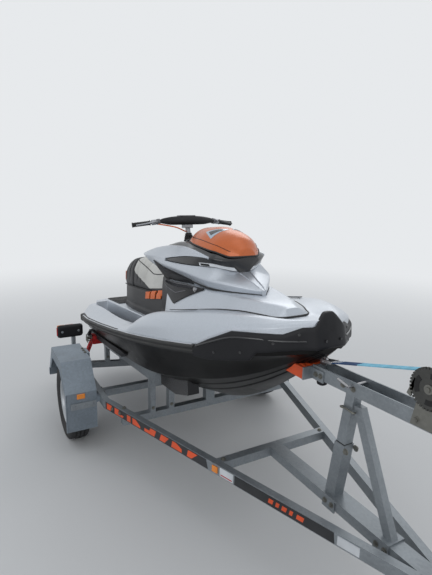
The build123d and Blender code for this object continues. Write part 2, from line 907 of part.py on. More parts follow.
with BuildPart() as mid_beam:
    row_box(mid_x, mid_x + beam_w, -mid_half, mid_half, rail_low - cross_h, rail_low)
    for k in (1, -1):
        top = craft_height(mid_x, bunk_z) + 20
        row_box(mid_x, mid_x + beam_w, k * bunk_y - 20, k * bunk_y + 20, rail_low, top)
        top = craft_height(mid_x, bunk_bar_z) + 25
        row_box(mid_x, mid_x + beam_w, k * bar_y - 18, k * bar_y + 18, rail_low, top)
    row_box(mid_x, mid_x + beam_w, -35, 35, rail_low, rail_low + 120)
    add(hull.part, mode=Mode.SUBTRACT)
    add(bunks.part, mode=Mode.SUBTRACT)
    add(bunk_bars.part, mode=Mode.SUBTRACT)
mid_beam.part.label = "mid_beam"

with BuildPart() as rear_beam:
    half = rail_half - 6
    with BuildSketch(Plane(origin=(rear_x, 0, 0), x_dir=(0, 1, 0), z_dir=(1, 0, 0))) as outline:
        with BuildLine():
            Polyline(
                (-half, rail_low),
                (-rail_half + rail_w + 20, rail_low),
                (-60, dip_z),
                (60, dip_z),
                (rail_half - rail_w - 20, rail_low),
                (half, rail_low),
                (half, rail_low - cross_h),
                (rail_half - rail_w - 20, rail_low - cross_h),
                (60, dip_z - cross_h),
                (-60, dip_z - cross_h),
                (-rail_half + rail_w + 20, rail_low - cross_h),
                (-half, rail_low - cross_h),
                close=True,
            )
        make_face()
    extrude(outline.sketch, amount=beam_w)
    for k in (1, -1):
        top = craft_height(rear_x, bunk_z) + 20
        row_box(rear_x, rear_x + beam_w, k * bunk_y - 20, k * bunk_y + 20, dip_z, top)
        top = craft_height(rear_x, bunk_bar_z) + 25
        row_box(rear_x, rear_x + beam_w, k * bar_y - 18, k * bar_y + 18, dip_z + 10, top)
    row_box(rear_x, rear_x + beam_w, -35, 35, dip_z - 5, dip_z + 90)
    add(hull.part, mode=Mode.SUBTRACT)
    add(bunks.part, mode=Mode.SUBTRACT)
    add(bunk_bars.part, mode=Mode.SUBTRACT)
rear_beam.part.label = "rear_beam"

# Axle: square tube under the rails, trailing arms and stub shafts
stub_r = 20
arm_y0 = rail_half + 5
arm_y1 = rail_half + 27
hub_y0 = arm_y1 + 6
hub_y1 = track_half + 18
arm_x = wheel_x + arm_reach
tube_z = rail_low - axle_tube / 2

with BuildPart() as axle:
    row_box(arm_x - axle_tube / 2, arm_x + axle_tube / 2, -arm_y0, arm_y0, rail_low - axle_tube, rail_low)
    for k in (1, -1):
        y0 = arm_y0 if k > 0 else -arm_y1
        outline = [
            (arm_x + 36, tube_z - 20),
            (arm_x + 30, tube_z + 22),
            (arm_x - 20, tube_z + 26),
            (wheel_x - 24, tyre_r + 26),
            (wheel_x - 32, tyre_r - 20),
            (wheel_x + 10, tyre_r - 32),
        ]
        row_plate(y0, y0 + arm_y1 - arm_y0, outline)
        y0, y1 = sorted((k * arm_y1, k * (hub_y1 - 12)))
        cross_rod(wheel_x, y0, y1, tyre_r, stub_r)
axle.part.label = "axle"

# Wheels: tyre with a rounded tread, steel rim with the hub in its middle
wheel_parts = []
for k, side_name in ((1, "port"), (-1, "starboard")):
    y_mid = k * track_half
    with BuildPart() as tyre:
        with BuildSketch(Plane.YZ.offset(wheel_x)) as ring:
            with BuildLine():
                Polyline(
                    (y_mid - 58, tyre_r + rim_r),
                    (y_mid - tyre_w / 2, tyre_r + rim_r + 42),
                    (y_mid - tyre_w / 2, tyre_r + tyre_r - 34),
                    (y_mid - tyre_w / 2 + 16, tyre_r + tyre_r - 6),
                    (y_mid - 34, tyre_r + tyre_r),
                    (y_mid + 34, tyre_r + tyre_r),
                    (y_mid + tyre_w / 2 - 16, tyre_r + tyre_r - 6),
                    (y_mid + tyre_w / 2, tyre_r + tyre_r - 34),
                    (y_mid + tyre_w / 2, tyre_r + rim_r + 42),
                    (y_mid + 58, tyre_r + rim_r),
                    close=True,
                )
            make_face()
        revolve(ring.sketch, axis=Axis((wheel_x, 0, tyre_r), (0, 1, 0)))
    tyre.part.label = "tyre_" + side_name
    with BuildPart() as rim:
        cross_rod(wheel_x, y_mid - 58, y_mid + 58, tyre_r, rim_r)
        inner0 = min(y_mid - k * 59, y_mid + k * 8)
        inner1 = max(y_mid - k * 59, y_mid + k * 8)
        cross_rod(wheel_x, inner0, inner1, tyre_r, rim_r - 9, Mode.SUBTRACT)
        outer0 = min(y_mid + k * 16, y_mid + k * 59)
        outer1 = max(y_mid + k * 16, y_mid + k * 59)
        cross_rod(wheel_x, outer0, outer1, tyre_r, rim_r - 9, Mode.SUBTRACT)
        hub0 = min(k * hub_y0, k * (hub_y1 + 6))
        hub1 = max(k * hub_y0, k * (hub_y1 + 6))
        cross_rod(wheel_x, hub0, hub1, tyre_r, 58)
        bore0 = min(k * (hub_y0 - 1), k * (hub_y1 - 8))
        bore1 = max(k * (hub_y0 - 1), k * (hub_y1 - 8))
        cross_rod(wheel_x, bore0, bore1, tyre_r, stub_r + run_gap, Mode.SUBTRACT)
    rim.part.label = "rim_" + side_name
    wheel_parts += [tyre, rim]

# Mudguards: folded sheet over the tyre, with a bracket to the rail
guard_in = rail_half + 22
guard_out = track_half + tyre_w / 2 + 32
guard_t = 4
guard_top = 655
guard_parts = []
for k, side_name in ((1, "port"), (-1, "starboard")):
    with BuildPart() as guard:
        y0 = min(k * guard_in, k * guard_out)
        y1 = max(k * guard_in, k * guard_out)
        outer = [
            (wheel_x + 312, 190),
            (wheel_x + 316, 470),
            (wheel_x + 176, guard_top),
            (wheel_x - 176, guard_top),
            (wheel_x - 318, 440),
            (wheel_x - 322, 380),
        ]
        inner = [
            (wheel_x - 322 + guard_t, 380),
            (wheel_x - 318 + guard_t, 439),
            (wheel_x - 174, guard_top - guard_t),
            (wheel_x + 174, guard_top - guard_t),
            (wheel_x + 316 - guard_t, 469),
            (wheel_x + 312 - guard_t, 190),
        ]
        row_plate(y0, y1, outer + inner)
        skirt = [
            (wheel_x + 316, 470),
            (wheel_x + 176, guard_top),
            (wheel_x - 176, guard_top),
            (wheel_x - 318, 440),
            (wheel_x - 250, 470),
            (wheel_x - 140, 590),
            (wheel_x + 140, 590),
            (wheel_x + 250, 500),
        ]
        s0 = min(k * (guard_out - guard_t), k * guard_out)
        s1 = max(k * (guard_out - guard_t), k * guard_out)
        row_plate(s0, s1, skirt)
        b0 = min(k * rail_half, k * (guard_in + 4))
        b1 = max(k * rail_half, k * (guard_in + 4))
        row_box(wheel_x - 60, wheel_x + 60, b0, b1, rail_low + 8, guard_top - 2)
        row_box(wheel_x + 270, wheel_x + 314, b0, b1, rail_low + 8, rail_top - 6)
    guard.part.label = "mudguard_" + side_name
    guard_parts.append(guard)

# Tail lamps on uprights from the rail ends
lamp_x = beam_x - 2010
lamp_z0 = 577
lamp_z1 = 690
lamp_in = 100
lamp_out = 115
lamp_parts = []
for k, side_name in ((1, "port"), (-1, "starboard")):
    with BuildPart() as lamp:
        y0 = min(k * (rail_half - lamp_in), k * (rail_half + lamp_out))
        y1 = max(k * (rail_half - lamp_in), k * (rail_half + lamp_out))
        row_box(lamp_x - 30, lamp_x + 30, y0, y1, lamp_z0, lamp_z1)
        y0 = min(k * (rail_half - 33), k * (rail_half - 3))
        y1 = max(k * (rail_half - 33), k * (rail_half - 3))
        row_box(lamp_x - 24, lamp_x + 24, y0, y1, rail_top, lamp_z0)
    lamp.part.label = "tail_lamp_" + side_name
    lamp_parts.append(lamp)

# Stern tie-downs: ratchet against the hull side, strap down to the rear beam
with BuildPart() as tiedowns:
    for k in (1, -1):
        row_box(rear_x - 45, rear_x + 45, min(k * 450, k * 556), max(k * 450, k * 556), 520, 590)
        with BuildSketch(Plane(origin=(rear_x + 2, 0, 0), x_dir=(0, 1, 0), z_dir=(1, 0, 0))) as outline:
            with BuildLine():
                Polyline(
                    (k * 548, 560),
                    (k * 556, 560),
                    (k * 640, rail_low - 2),
                    (k * 630, rail_low - 2),
                    close=True,
                )
            make_face()
        extrude(outline.sketch, amount=beam_w - 4)
    add(hull.part, mode=Mode.SUBTRACT)
    add(rear_beam.part, mode=Mode.SUBTRACT)
    add(bunk_bars.part, mode=Mode.SUBTRACT)
    add(sponsons.part, mode=Mode.SUBTRACT)
tiedowns.part.label = "tiedowns"

# Winch post with its saddle and strut, and the twin-flange arm
post_x = beam_x + 456
post_lean = 72
arm_x0 = beam_x + 300
arm_x1 = beam_x + 990
arm_z = 975
arm_h = 62
arm_rise = 0.039
arm_half = 46
arm_t2 = 6
saddle_t = 8


def arm_low(x):
    """Underside of the arm at a row X."""
    return arm_z + arm_rise * (x - arm_x0)


with BuildPart() as winch_arm:
    for y0 in (-arm_half, arm_half - arm_t2):
        outline = [
            (arm_x0, arm_low(arm_x0)),
            (arm_x1, arm_low(arm_x1)),
            (arm_x1, arm_low(arm_x1) + arm_h),
            (arm_x0, arm_low(arm_x0) + arm_h),
        ]
        row_plate(y0, y0 + arm_t2, outline)
    for x0, x1 in ((arm_x0 + 90, arm_x0 + 420), (arm_x1 - 150, arm_x1 - 10)):
        outline = [(x0, arm_low(x0)), (x1, arm_low(x1)), (x1, arm_low(x1) + 6), (x0, arm_low(x0) + 6)]
        row_plate(-arm_half, arm_half, outline)
    row_box(arm_x0 - 10, arm_x0 - 2, -100, 100, arm_z - 10, arm_z + 52)
    for k in (1, -1):
        y0, y1 = sorted((k * arm_half, k * (arm_half + 6)))
        row_box(arm_x0 - 10, arm_x0 + 80, y0, y1, arm_z - 5, arm_z + 50)
winch_arm.part.label = "winch_arm"

with BuildPart() as winch_post:
    half = bar_w / 2 + saddle_t
    row_box(beam_x + 430, beam_x + 820, -half, half, rail_top, rail_top + saddle_t)
    for x0, x1 in ((beam_x + 430, beam_x + 510), (beam_x + 740, beam_x + 820)):
        for k in (1, -1):
            y0 = min(k * bar_w / 2, k * (bar_w / 2 + saddle_t))
            row_box(x0, x1, y0, y0 + saddle_t, rail_top - bar_h - 10, rail_top + saddle_t)
    foot = rail_top + saddle_t
    joint_z = 720
    top = arm_low(post_x + post_lean) + 20
    lean = post_lean / (arm_low(post_x) - foot)
    for z0, z1, half in ((foot, joint_z, 30), (joint_z - 1, top, 25)):
        xa = post_x + lean * (z0 - foot)
        xb = post_x + lean * (z1 - foot)
        outline = [(xa - half, z0), (xa + half, z0), (xb + half, z1), (xb - half, z1)]
        row_plate(-half, half, outline)
    outline = [(beam_x + 765, foot), (beam_x + 812, foot), (beam_x + 588, 930), (beam_x + 540, 930)]
    row_plate(-18, 18, outline)
    x0 = arm_x0 + 90
    x1 = arm_x0 + 420
    outline = [(x0, arm_low(x0)), (x1, arm_low(x1)), (x1, 1200), (x0, 1200)]
    row_plate(-arm_half, arm_half, outline, Mode.SUBTRACT)
    for rail in frame_parts:
        add(rail.part, mode=Mode.SUBTRACT)
winch_post.part.label = "winch_post"

with BuildPart() as bow_stop:
    row_box(arm_x0 - 135, arm_x0 - 10, -100, 100, arm_z - 8, arm_z + 50)
    add(hull.part, mode=Mode.SUBTRACT)
bow_stop.part.label = "bow_stop"

# Winch: side plates, drum with its gear, crank shaft across
winch_x = beam_x + 919
winch_z = 1167
strap_r = 54
gear_r = 78
gear_teeth = 36
plate_y0 = arm_half
plate_y1 = arm_half + 5
shaft_r = 10
pinion_r = 17
pinion_x = winch_x + 53
pinion_z = winch_z + 86
crank_l = 190

with BuildPart() as winch_frame:
    for k in (1, -1):
        y0 = min(k * plate_y0, k * plate_y1)
        outline = [
            (winch_x - 70, arm_low(winch_x - 70) + 6),
            (winch_x + 58, arm_low(winch_x + 58) + 6),
            (pinion_x + 28, pinion_z),
            (pinion_x + 10, pinion_z + 28),
            (pinion_x - 24, pinion_z + 22),
            (winch_x - 36, winch_z + 24),
        ]
        row_plate(y0, y0 + plate_y1 - plate_y0, outline)
        cross_rod(winch_x, y0 - 1, y0 + 6, winch_z, shaft_r + run_gap, Mode.SUBTRACT)
        cross_rod(pinion_x, y0 - 1, y0 + 6, pinion_z, shaft_r + run_gap, Mode.SUBTRACT)
winch_frame.part.label = "winch_frame"

with BuildPart() as winch_drum:
    cross_rod(winch_x, -68, plate_y1 + 8, winch_z, shaft_r)
    cross_rod(winch_x, -28, 28, winch_z, strap_r)
    for y0 in (-34, 28):
        cross_rod(winch_x, y0, y0 + 6, winch_z, strap_r + 10)
    cross_rod(winch_x, -66, -58, winch_z, gear_r - 6)
    with BuildSketch(Plane(origin=(winch_x, -58, winch_z), x_dir=(1, 0, 0), z_dir=(0, -1, 0))) as teeth:
        with PolarLocations(gear_r - 4, gear_teeth):
            Rectangle(12, 8)
    extrude(teeth.sketch, amount=8)
winch_drum.part.label = "winch_drum"

with BuildPart() as winch_crank:
    cross_rod(pinion_x, -66, 92, pinion_z, shaft_r)
    cross_rod(pinion_x, -66, -58, pinion_z, pinion_r)
    row_plate(78, 88, [
        (pinion_x - 14, pinion_z + 14),
        (pinion_x + 14, pinion_z + 14),
        (pinion_x + 12, pinion_z - crank_l - 12),
        (pinion_x - 12, pinion_z - crank_l - 12),
    ])
    cross_rod(pinion_x, 84, 190, pinion_z - crank_l, 14)
winch_crank.part.label = "winch_crank"

# Strap from the stem eye to the drum, with its hook pin through the eye
strap_t = 4
strap_y = 24
hook_x = point(eye_s, 0, eye_z)[0] + eye_r - eye_bar - 6
hook_z = point(eye_s, 0, eye_z)[2]

with BuildPart() as winch_strap:
    cross_rod(hook_x, -18, 18, hook_z, 6)
    for y0 in (-18, 12):
        row_plate(y0, y0 + 6, [
            (hook_x - 8, hook_z - 8),
            (hook_x - 8, hook_z + 9),
            (hook_x + 66, hook_z + 24),
            (hook_x + 66, hook_z + 6),
        ])
    row_box(hook_x + 54, hook_x + 66, -strap_y, strap_y, hook_z + 5, hook_z + 23)
    end_x = winch_x - 10
    end_z = winch_z + strap_r + 1
    row_plate(-strap_y, strap_y, [
        (hook_x + 60, hook_z + 12),
        (end_x, end_z),
        (end_x, end_z + strap_t),
        (hook_x + 60, hook_z + 12 + strap_t),
    ])
winch_strap.part.label = "winch_strap"

# Coupling head with a socket for a 50 mm ball
ball_r = 25.2
socket_x = beam_x + 1440
head_z0 = rail_top - 62

with BuildPart() as coupling:
    row_box(bar_end - 112, bar_end + 60, -bar_w / 2 - 6, bar_w / 2 + 6, rail_top - bar_h - 6, rail_top + 6)
    row_box(bar_end - 113, bar_end, -bar_w / 2, bar_w / 2, rail_top - bar_h, rail_top, Mode.SUBTRACT)
    row_plan(head_z0, rail_top, [
        (bar_end + 40, -44),
        (socket_x + 6, -40),
        (socket_x + 40, -20),
        (socket_x + 40, 20),
        (socket_x + 6, 40),
        (bar_end + 40, 44),
    ])
    row_box(socket_x - 60, socket_x - 20, -12, 12, rail_top, rail_top + 34)
    row_box(socket_x - 60, socket_x + 30, -10, 10, rail_top + 26, rail_top + 40)
    post_rod(socket_x, 0, head_z0 - 1, head_z0 + 28, ball_r, Mode.SUBTRACT)
    with Locations((socket_x, 0, head_z0 + 28)):
        Sphere(ball_r, mode=Mode.SUBTRACT)
coupling.part.label = "coupling"

# Jockey wheel beside the drawbar: clamp and outer tube, leg, fork, wheel
jockey_x = beam_x + 1040
jockey_y = 118
tube_r = 24
leg_r = 19
roller_r = 100
roller_w = 60
trail = 36
fork_top = 236
jockey_low = 345
leg_top = 560

with BuildPart() as jockey_mount:
    row_plan(rail_top - bar_h, rail_top, [
        (meet_x + 4, bar_w / 2),
        (meet_x + 60, bar_w / 2),
        (jockey_x + 44, jockey_y + 20),
        (jockey_x + 4, jockey_y + 20),
    ])
    post_rod(jockey_x + 24, jockey_y, jockey_low, 800, tube_r + 5)
    post_rod(jockey_x + 24, jockey_y, jockey_low - 1, 780, tube_r, Mode.SUBTRACT)
    post_rod(jockey_x + 24, jockey_y, 799, 850, 8)
    row_box(jockey_x + 14, jockey_x + 114, jockey_y - 8, jockey_y + 8, 840, 852)
    post_rod(jockey_x + 104, jockey_y, 850, 920, 11)
    add(frame_parts[0].part, mode=Mode.SUBTRACT)
    add(drawbar.part, mode=Mode.SUBTRACT)
jockey_mount.part.label = "jockey_mount"

with BuildPart() as jockey_leg:
    post_rod(jockey_x + 24, jockey_y, jockey_low + 20, leg_top, tube_r - run_gap)
    post_rod(jockey_x + 24, jockey_y, fork_top + 2, jockey_low + 21, leg_r)
    post_rod(jockey_x + 24, jockey_y, fork_top - 24, fork_top + 3, 8)
jockey_leg.part.label = "jockey_leg"

with BuildPart() as jockey_fork:
    cx = jockey_x + 24
    row_box(cx - 40, cx + 26, jockey_y - 42, jockey_y + 42, fork_top - 8, fork_top)
    for k in (1, -1):
        y0 = jockey_y + min(k * 36, k * 42)
        outline = [
            (cx - 40, fork_top),
            (cx + 26, fork_top),
            (cx - trail + 20, roller_r - 14),
            (cx - trail - 18, roller_r - 14),
        ]
        row_plate(y0, y0 + 6, outline)
    cross_rod(cx - trail, jockey_y - 42, jockey_y + 42, roller_r, 8)
    post_rod(cx, jockey_y, fork_top - 9, fork_top + 1, 8 + run_gap, Mode.SUBTRACT)
jockey_fork.part.label = "jockey_fork"

with BuildPart() as jockey_wheel:
    cross_rod(jockey_x + 24 - trail, jockey_y - roller_w / 2, jockey_y + roller_w / 2, roller_r, roller_r)
    cross_rod(jockey_x + 24 - trail, jockey_y - 40, jockey_y + 40, roller_r, 8 + run_gap, Mode.SUBTRACT)
jockey_wheel.part.label = "jockey_wheel"

with BuildPart() as gunwales:
    add(rails[0].part)
    add(rails[1].part)
gunwales.part.label = "gunwales"

nodes = [
    hull, deck, engine, gunwales, bumper, trim_panels, cowl, dash, seat_base, seat, mats, lid,
    handlebar, grips, sponsons, pump, nozzle, bucket, bow_eye, stern_eyes,
    frame_parts[0], frame_parts[1], front_beam, drawbar, bunks, bunk_bars, mid_beam, rear_beam,
    axle, *wheel_parts, *guard_parts, *lamp_parts, tiedowns, winch_arm, winch_post, bow_stop,
    winch_frame, winch_drum, winch_crank, winch_strap, coupling, jockey_mount, jockey_leg,
    jockey_fork, jockey_wheel,
]

for node in nodes:
    export_step(node.part, "parts/" + node.part.label + ".step")
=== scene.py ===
import math

import bmesh
import bpy
from mathutils import Matrix, Vector


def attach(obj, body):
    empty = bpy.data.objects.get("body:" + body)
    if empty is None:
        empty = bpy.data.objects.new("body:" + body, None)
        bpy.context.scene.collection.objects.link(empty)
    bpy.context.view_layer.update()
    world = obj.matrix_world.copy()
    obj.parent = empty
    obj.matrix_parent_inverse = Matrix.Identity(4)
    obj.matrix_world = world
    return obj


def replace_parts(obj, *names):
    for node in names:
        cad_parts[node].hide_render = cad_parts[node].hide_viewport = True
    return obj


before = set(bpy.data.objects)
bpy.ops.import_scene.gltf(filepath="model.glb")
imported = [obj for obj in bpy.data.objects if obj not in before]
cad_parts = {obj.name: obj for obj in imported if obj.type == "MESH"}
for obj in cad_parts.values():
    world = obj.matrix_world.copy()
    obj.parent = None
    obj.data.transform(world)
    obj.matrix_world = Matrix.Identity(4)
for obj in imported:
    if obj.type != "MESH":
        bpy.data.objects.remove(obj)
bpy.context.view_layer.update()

# Row frame in metres: +X to the bow and the coupling, +Y port, +Z up, floor at Z = 0
ROOT = "craft_and_trailer"
SIDES = ((1, "port"), (-1, "starboard"))
BEAM_X = 0.574
CRAFT_X = BEAM_X - 2.53
CRAFT_Z = 0.29
PITCH = math.radians(5.44)
CP = math.cos(PITCH)
SP = math.sin(PITCH)
BOND_Z0 = 0.300
BOND_SLOPE = 0.0898
SOLE_Z = 0.456
WELL_Z = 0.335
WELL_IN = 0.265
ROOF_Z = 0.790
ROOF_S = 1.950
ROOF_FALL = 0.0906
NECK_S = 1.640
DASH_S = 1.420
NOSE_S = 2.940
BUMPER_T = 0.022


def craft(s, y, z):
    """Row-frame point of a craft-frame point."""
    return (CRAFT_X + s * CP - z * SP, y, CRAFT_Z + s * SP + z * CP)


def row(x, y, z):
    """Row-frame point as it is."""
    return (x, y, z)


def craft_flat(y, s, z):
    """Place for prisms drawn in y and s, with depth upwards, in the craft frame."""
    return craft(s, y, z)


def craft_upright(s, z, y):
    """Place for prisms drawn in s and z, with depth to port, in the craft frame."""
    return craft(s, y, z)


def upright(x=0.0, z=0.0):
    """Place for prisms drawn in X and Z about a point, with depth to port."""
    return lambda u, v, depth: (x + u, depth, z + v)


def bond(s):
    """Height of the hull-to-deck joint at a station."""
    return BOND_Z0 + BOND_SLOPE * s


def roof(s):
    """Height of the neck's top at a station."""
    return ROOF_Z - ROOF_FALL * max(0.0, s - ROOF_S)


# Materials
DUST = (0.20, 0.19, 0.17)


def wire(tree, target, inputs):
    """Inputs of a node, each a value or another node's output; a colour's alpha is 1."""
    for name, value in inputs.items():
        socket = target.inputs[name]
        if isinstance(value, bpy.types.NodeSocket):
            tree.links.new(value, socket)
        else:
            socket.default_value = (*value, 1) if isinstance(value, tuple) else value


def node(tree, kind, inputs, **settings):
    """New node with its settings and inputs."""
    new = tree.nodes.new("ShaderNode" + kind)
    for name, value in settings.items():
        setattr(new, name, value)
    wire(tree, new, inputs)
    return new


def node_tree(name):
    """New material with its tree, shader and object coordinates."""
    mat = bpy.data.materials.new(name)
    mat.use_nodes = True
    tree = mat.node_tree
    return mat, tree, tree.nodes["Principled BSDF"], node(tree, "TexCoord", {}).outputs["Object"]


def noise_out(tree, coord, scale, detail=4.0, rough=0.55):
    """Noise value at a scale."""
    inputs = {"Vector": coord, "Scale": scale, "Detail": detail, "Roughness": rough}
    return node(tree, "TexNoise", inputs).outputs["Fac"]


def cell_tone(tree, coord, scale):
    """A random value for each cell of a scale."""
    cells = node(tree, "TexVoronoi", {"Vector": coord, "Scale": scale})
    return node(tree, "SeparateColor", {"Color": cells.outputs["Color"]}).outputs["Red"]


def shades(color, low, high):
    """Darker and lighter tone of a colour."""
    return tuple(c * low for c in color), tuple(min(1.0, c * high) for c in color)


def ramp(tree, fac, low, high, dark, light):
    """Colour ramp between two colours over a range of a value."""
    new = node(tree, "ValToRGB", {"Fac": fac})
    for end, at, color in zip(new.color_ramp.elements, (low, high), (dark, light)):
        end.position = at
        end.color = (*color, 1)
    return new.outputs["Color"]


def mapped(tree, value, low, high):
    """Value scaled from 0..1 to a range."""
    return node(tree, "MapRange", {"To Min": low, "To Max": high, "Value": value}).outputs["Result"]


def bumped(tree, shader, height, strength, distance):
    """Bump from a height value into the shader's normal."""
    bump = node(tree, "Bump", {"Strength": strength, "Distance": distance, "Height": height})
    wire(tree, shader, {"Normal": bump.outputs["Normal"]})


def dusty(tree, coord, color, amount):
    """Colour with dust lying in patches on faces that look up."""
    normal = node(tree, "NewGeometry", {}).outputs["Normal"]
    upward = mapped(tree, node(tree, "SeparateXYZ", {"Vector": normal}).outputs["Z"], 0.0, amount)
    patches = ramp(tree, noise_out(tree, coord, 9.0, 8.0, 0.65), 0.42, 0.7, (0.15, 0.15, 0.15), (1, 1, 1))
    share = node(tree, "Math", {0: upward, 1: patches}, operation="MULTIPLY", use_clamp=True)
    mix = node(tree, "Mix", {"Factor": share.outputs[0], "A": color, "B": DUST}, data_type="RGBA")
    return mix.outputs["Result"]


def finish(name, color, rough, metal=0.0, vary=0.12, grain=90.0, grain_depth=0.0004, coat=0.0, sheen=0.0,
           dust=0.0, specular=0.5):
    """Moulded, painted or woven finish: patchy colour, uneven gloss and a fine grain."""
    mat, tree, shader, coord = node_tree(name)
    tint = ramp(tree, noise_out(tree, coord, 6.0), 0.35, 0.65, *shades(color, 1 - vary, 1 + vary))
    fine = noise_out(tree, coord, grain, 3.0)
    wire(tree, shader, {
        "Base Color": dusty(tree, coord, tint, dust) if dust else tint,
        "Roughness": mapped(tree, fine, rough * 0.8, min(1.0, rough * 1.2)),
        "Metallic": metal, "Coat Weight": coat, "Coat Roughness": 0.08, "Sheen Weight": sheen,
        "Specular IOR Level": specular,
    })
    bumped(tree, shader, fine, 0.35, grain_depth)
    return mat


def galvanised(name, color, rough=0.46, cell=95.0, metal=0.7):
    """Zinc coating: crystal cells that differ in tone and gloss, dull patches and runs."""
    mat, tree, shader, coord = node_tree(name)
    runs = mapped(tree, noise_out(tree, coord, 5.0, 6.0), 0.05, 0.75)
    crystals = cell_tone(tree, coord, cell)
    blend = node(tree, "Math", {0: crystals, 1: 0.16, 2: runs}, operation="MULTIPLY_ADD").outputs[0]
    wire(tree, shader, {
        "Base Color": ramp(tree, blend, 0.2, 0.8, *shades(color, 0.70, 1.20)),
        "Roughness": mapped(tree, blend, rough * 0.85, rough * 1.3),
        "Metallic": metal,
    })
    bumped(tree, shader, noise_out(tree, coord, 60.0), 0.2, 0.0006)
    return mat


def flake(name, color, rough=0.24, metal=0.55):
    """Metallic gel coat: fine flake under a thin clear coat, with smears in its gloss."""
    mat, tree, shader, coord = node_tree(name)
    wire(tree, shader, {
        "Base Color": ramp(tree, cell_tone(tree, coord, 900.0), 0.1, 0.9, *shades(color, 0.86, 1.1)),
        "Roughness": mapped(tree, noise_out(tree, coord, 7.0, 5.0), rough * 0.7, rough * 1.4),
        "Metallic": metal, "Coat Weight": 0.3, "Coat Roughness": 0.22,
    })
    return mat


def woven(name, color):
    """Webbing: fine ribs across the strap with worn patches."""
    mat, tree, shader, coord = node_tree(name)
    worn = ramp(tree, noise_out(tree, coord, 30.0), 0.35, 0.65, *shades(color, 0.8, 1.15))
    wire(tree, shader, {"Base Color": worn, "Roughness": 0.8})
    ribs = node(tree, "TexWave", {"Vector": coord, "Scale": 420.0, "Distortion": 1.5})
    bumped(tree, shader, ribs.outputs["Fac"], 0.5, 0.0008)
    return mat


MATS = {
    "silver": flake("silver_gelcoat", (0.52, 0.555, 0.60), 0.36),
    "orange": flake("orange_gelcoat", (0.56, 0.125, 0.025), 0.32, 0.2),
    "motif": flake("pale_blue_gelcoat", (0.42, 0.50, 0.58)),
    "hull": finish("black_gelcoat", (0.007, 0.0066, 0.0066), 0.30, vary=0.3, grain=18.0, grain_depth=0.0002,
                   specular=0.14),
    "plastic": finish("black_plastic", (0.014, 0.014, 0.016), 0.46, grain=420.0, grain_depth=0.0006, dust=0.06,
                      specular=0.22),
    "plastic_gloss": finish("black_gloss", (0.012, 0.012, 0.014), 0.22, grain=200.0, coat=0.4),
    "plastic_grey": finish("grey_plastic", (0.13, 0.13, 0.14), 0.5, grain=420.0),
    "rubber": finish("black_rubber", (0.016, 0.016, 0.016), 0.65, grain=260.0, grain_depth=0.0006, dust=0.2),
    "mat": finish("grey_mat", (0.045, 0.045, 0.048), 0.8, vary=0.25, grain=500.0, grain_depth=0.001, dust=0.5),
    "vinyl": finish("pale_vinyl", (0.56, 0.55, 0.51), 0.5, vary=0.08, grain=650.0, grain_depth=0.0006),
    "vinyl_black": finish("black_vinyl", (0.016, 0.016, 0.018), 0.45, grain=650.0, grain_depth=0.0006,
                          specular=0.3),
    "vinyl_orange": finish("orange_vinyl", (0.66, 0.13, 0.02), 0.5, grain=650.0, grain_depth=0.0006),
    "galv": galvanised("galvanised", (0.29, 0.315, 0.335)),
    "guard": galvanised("pressed_zinc", (0.24, 0.28, 0.32), 0.5, 80.0),
    "zinc": galvanised("zinc_plate", (0.215, 0.212, 0.19), 0.45, 90.0),
    "gear": galvanised("dark_zinc", (0.085, 0.085, 0.08), 0.48, 90.0),
    "weld": galvanised("weld_bead", (0.26, 0.28, 0.30), 0.5, 150.0, 0.6),
    "steel": finish("stainless", (0.42, 0.42, 0.43), 0.34, metal=1.0, vary=0.05),
    "alloy": finish("cast_alloy", (0.36, 0.37, 0.39), 0.45, metal=0.8, vary=0.2),
    # Near-black matte: painted shade inside openings (intake mouth, vents, pump throat, gear windows), and the dark
    # joint on the winch post.
    "bore": finish("hollow_shade_and_joint_black", (0.012, 0.012, 0.012), 0.8),
    "tyre": finish("tyre_rubber", (0.020, 0.020, 0.021), 0.82, grain=150.0, grain_depth=0.0008, dust=0.15),
    "rim": finish("rim_paint", (0.42, 0.44, 0.46), 0.35, metal=0.6),
    "carpet": finish("bunk_carpet", (0.02, 0.02, 0.022), 0.95, grain=900.0, grain_depth=0.0015, sheen=0.3),
    "lens_red": finish("lens_red", (0.42, 0.010, 0.008), 0.12, coat=0.5),
    "lens_amber": finish("lens_amber", (0.72, 0.22, 0.02), 0.12, coat=0.5),
    "lens_clear": finish("lens_clear", (0.78, 0.80, 0.82), 0.3),
    "strap": woven("strap_blue", (0.20, 0.52, 0.68)),
    # Shaded copy of the blue webbing: painted shade for the strap's stretch under the bow.
    "strap_in_shade": woven("strap_in_shade", (0.02, 0.06, 0.16)),
    "strap_red": woven("strap_red", (0.45, 0.015, 0.015)),
    "stop": finish("stop_rubber", (0.66, 0.085, 0.02), 0.45, vary=0.2, grain=80.0),
    "paint_black": finish("band_black", (0.020, 0.021, 0.023), 0.4, vary=0.3),
    "paint_orange": finish("band_orange", (0.70, 0.085, 0.02), 0.4),
    "paint_red": finish("band_red", (0.42, 0.02, 0.02), 0.4),
    "label": finish("blank_label", (0.58, 0.60, 0.62), 0.45),
}

# Mesh helpers


def make(name, verts, faces, mat, slot, body=ROOT, sharp=35.0):
    """Mesh piece in the row frame, smooth with sharp edges kept, riding on a body."""
    mesh = bpy.data.meshes.new(name)
    mesh.from_pydata([tuple(v) for v in verts], [], faces)
    bm = bmesh.new()
    bm.from_mesh(mesh)
    bmesh.ops.remove_doubles(bm, verts=bm.verts, dist=1e-6)
    bmesh.ops.recalc_face_normals(bm, faces=bm.faces)
    bm.to_mesh(mesh)
    bm.free()
    mesh.polygons.foreach_set("use_smooth", [True] * len(mesh.polygons))
    mesh.set_sharp_from_angle(angle=math.radians(sharp))
    obj = bpy.data.objects.new(name, mesh)
    bpy.context.collection.objects.link(obj)
    obj.data.materials.append(MATS[mat])
    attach(obj, body)
    return obj


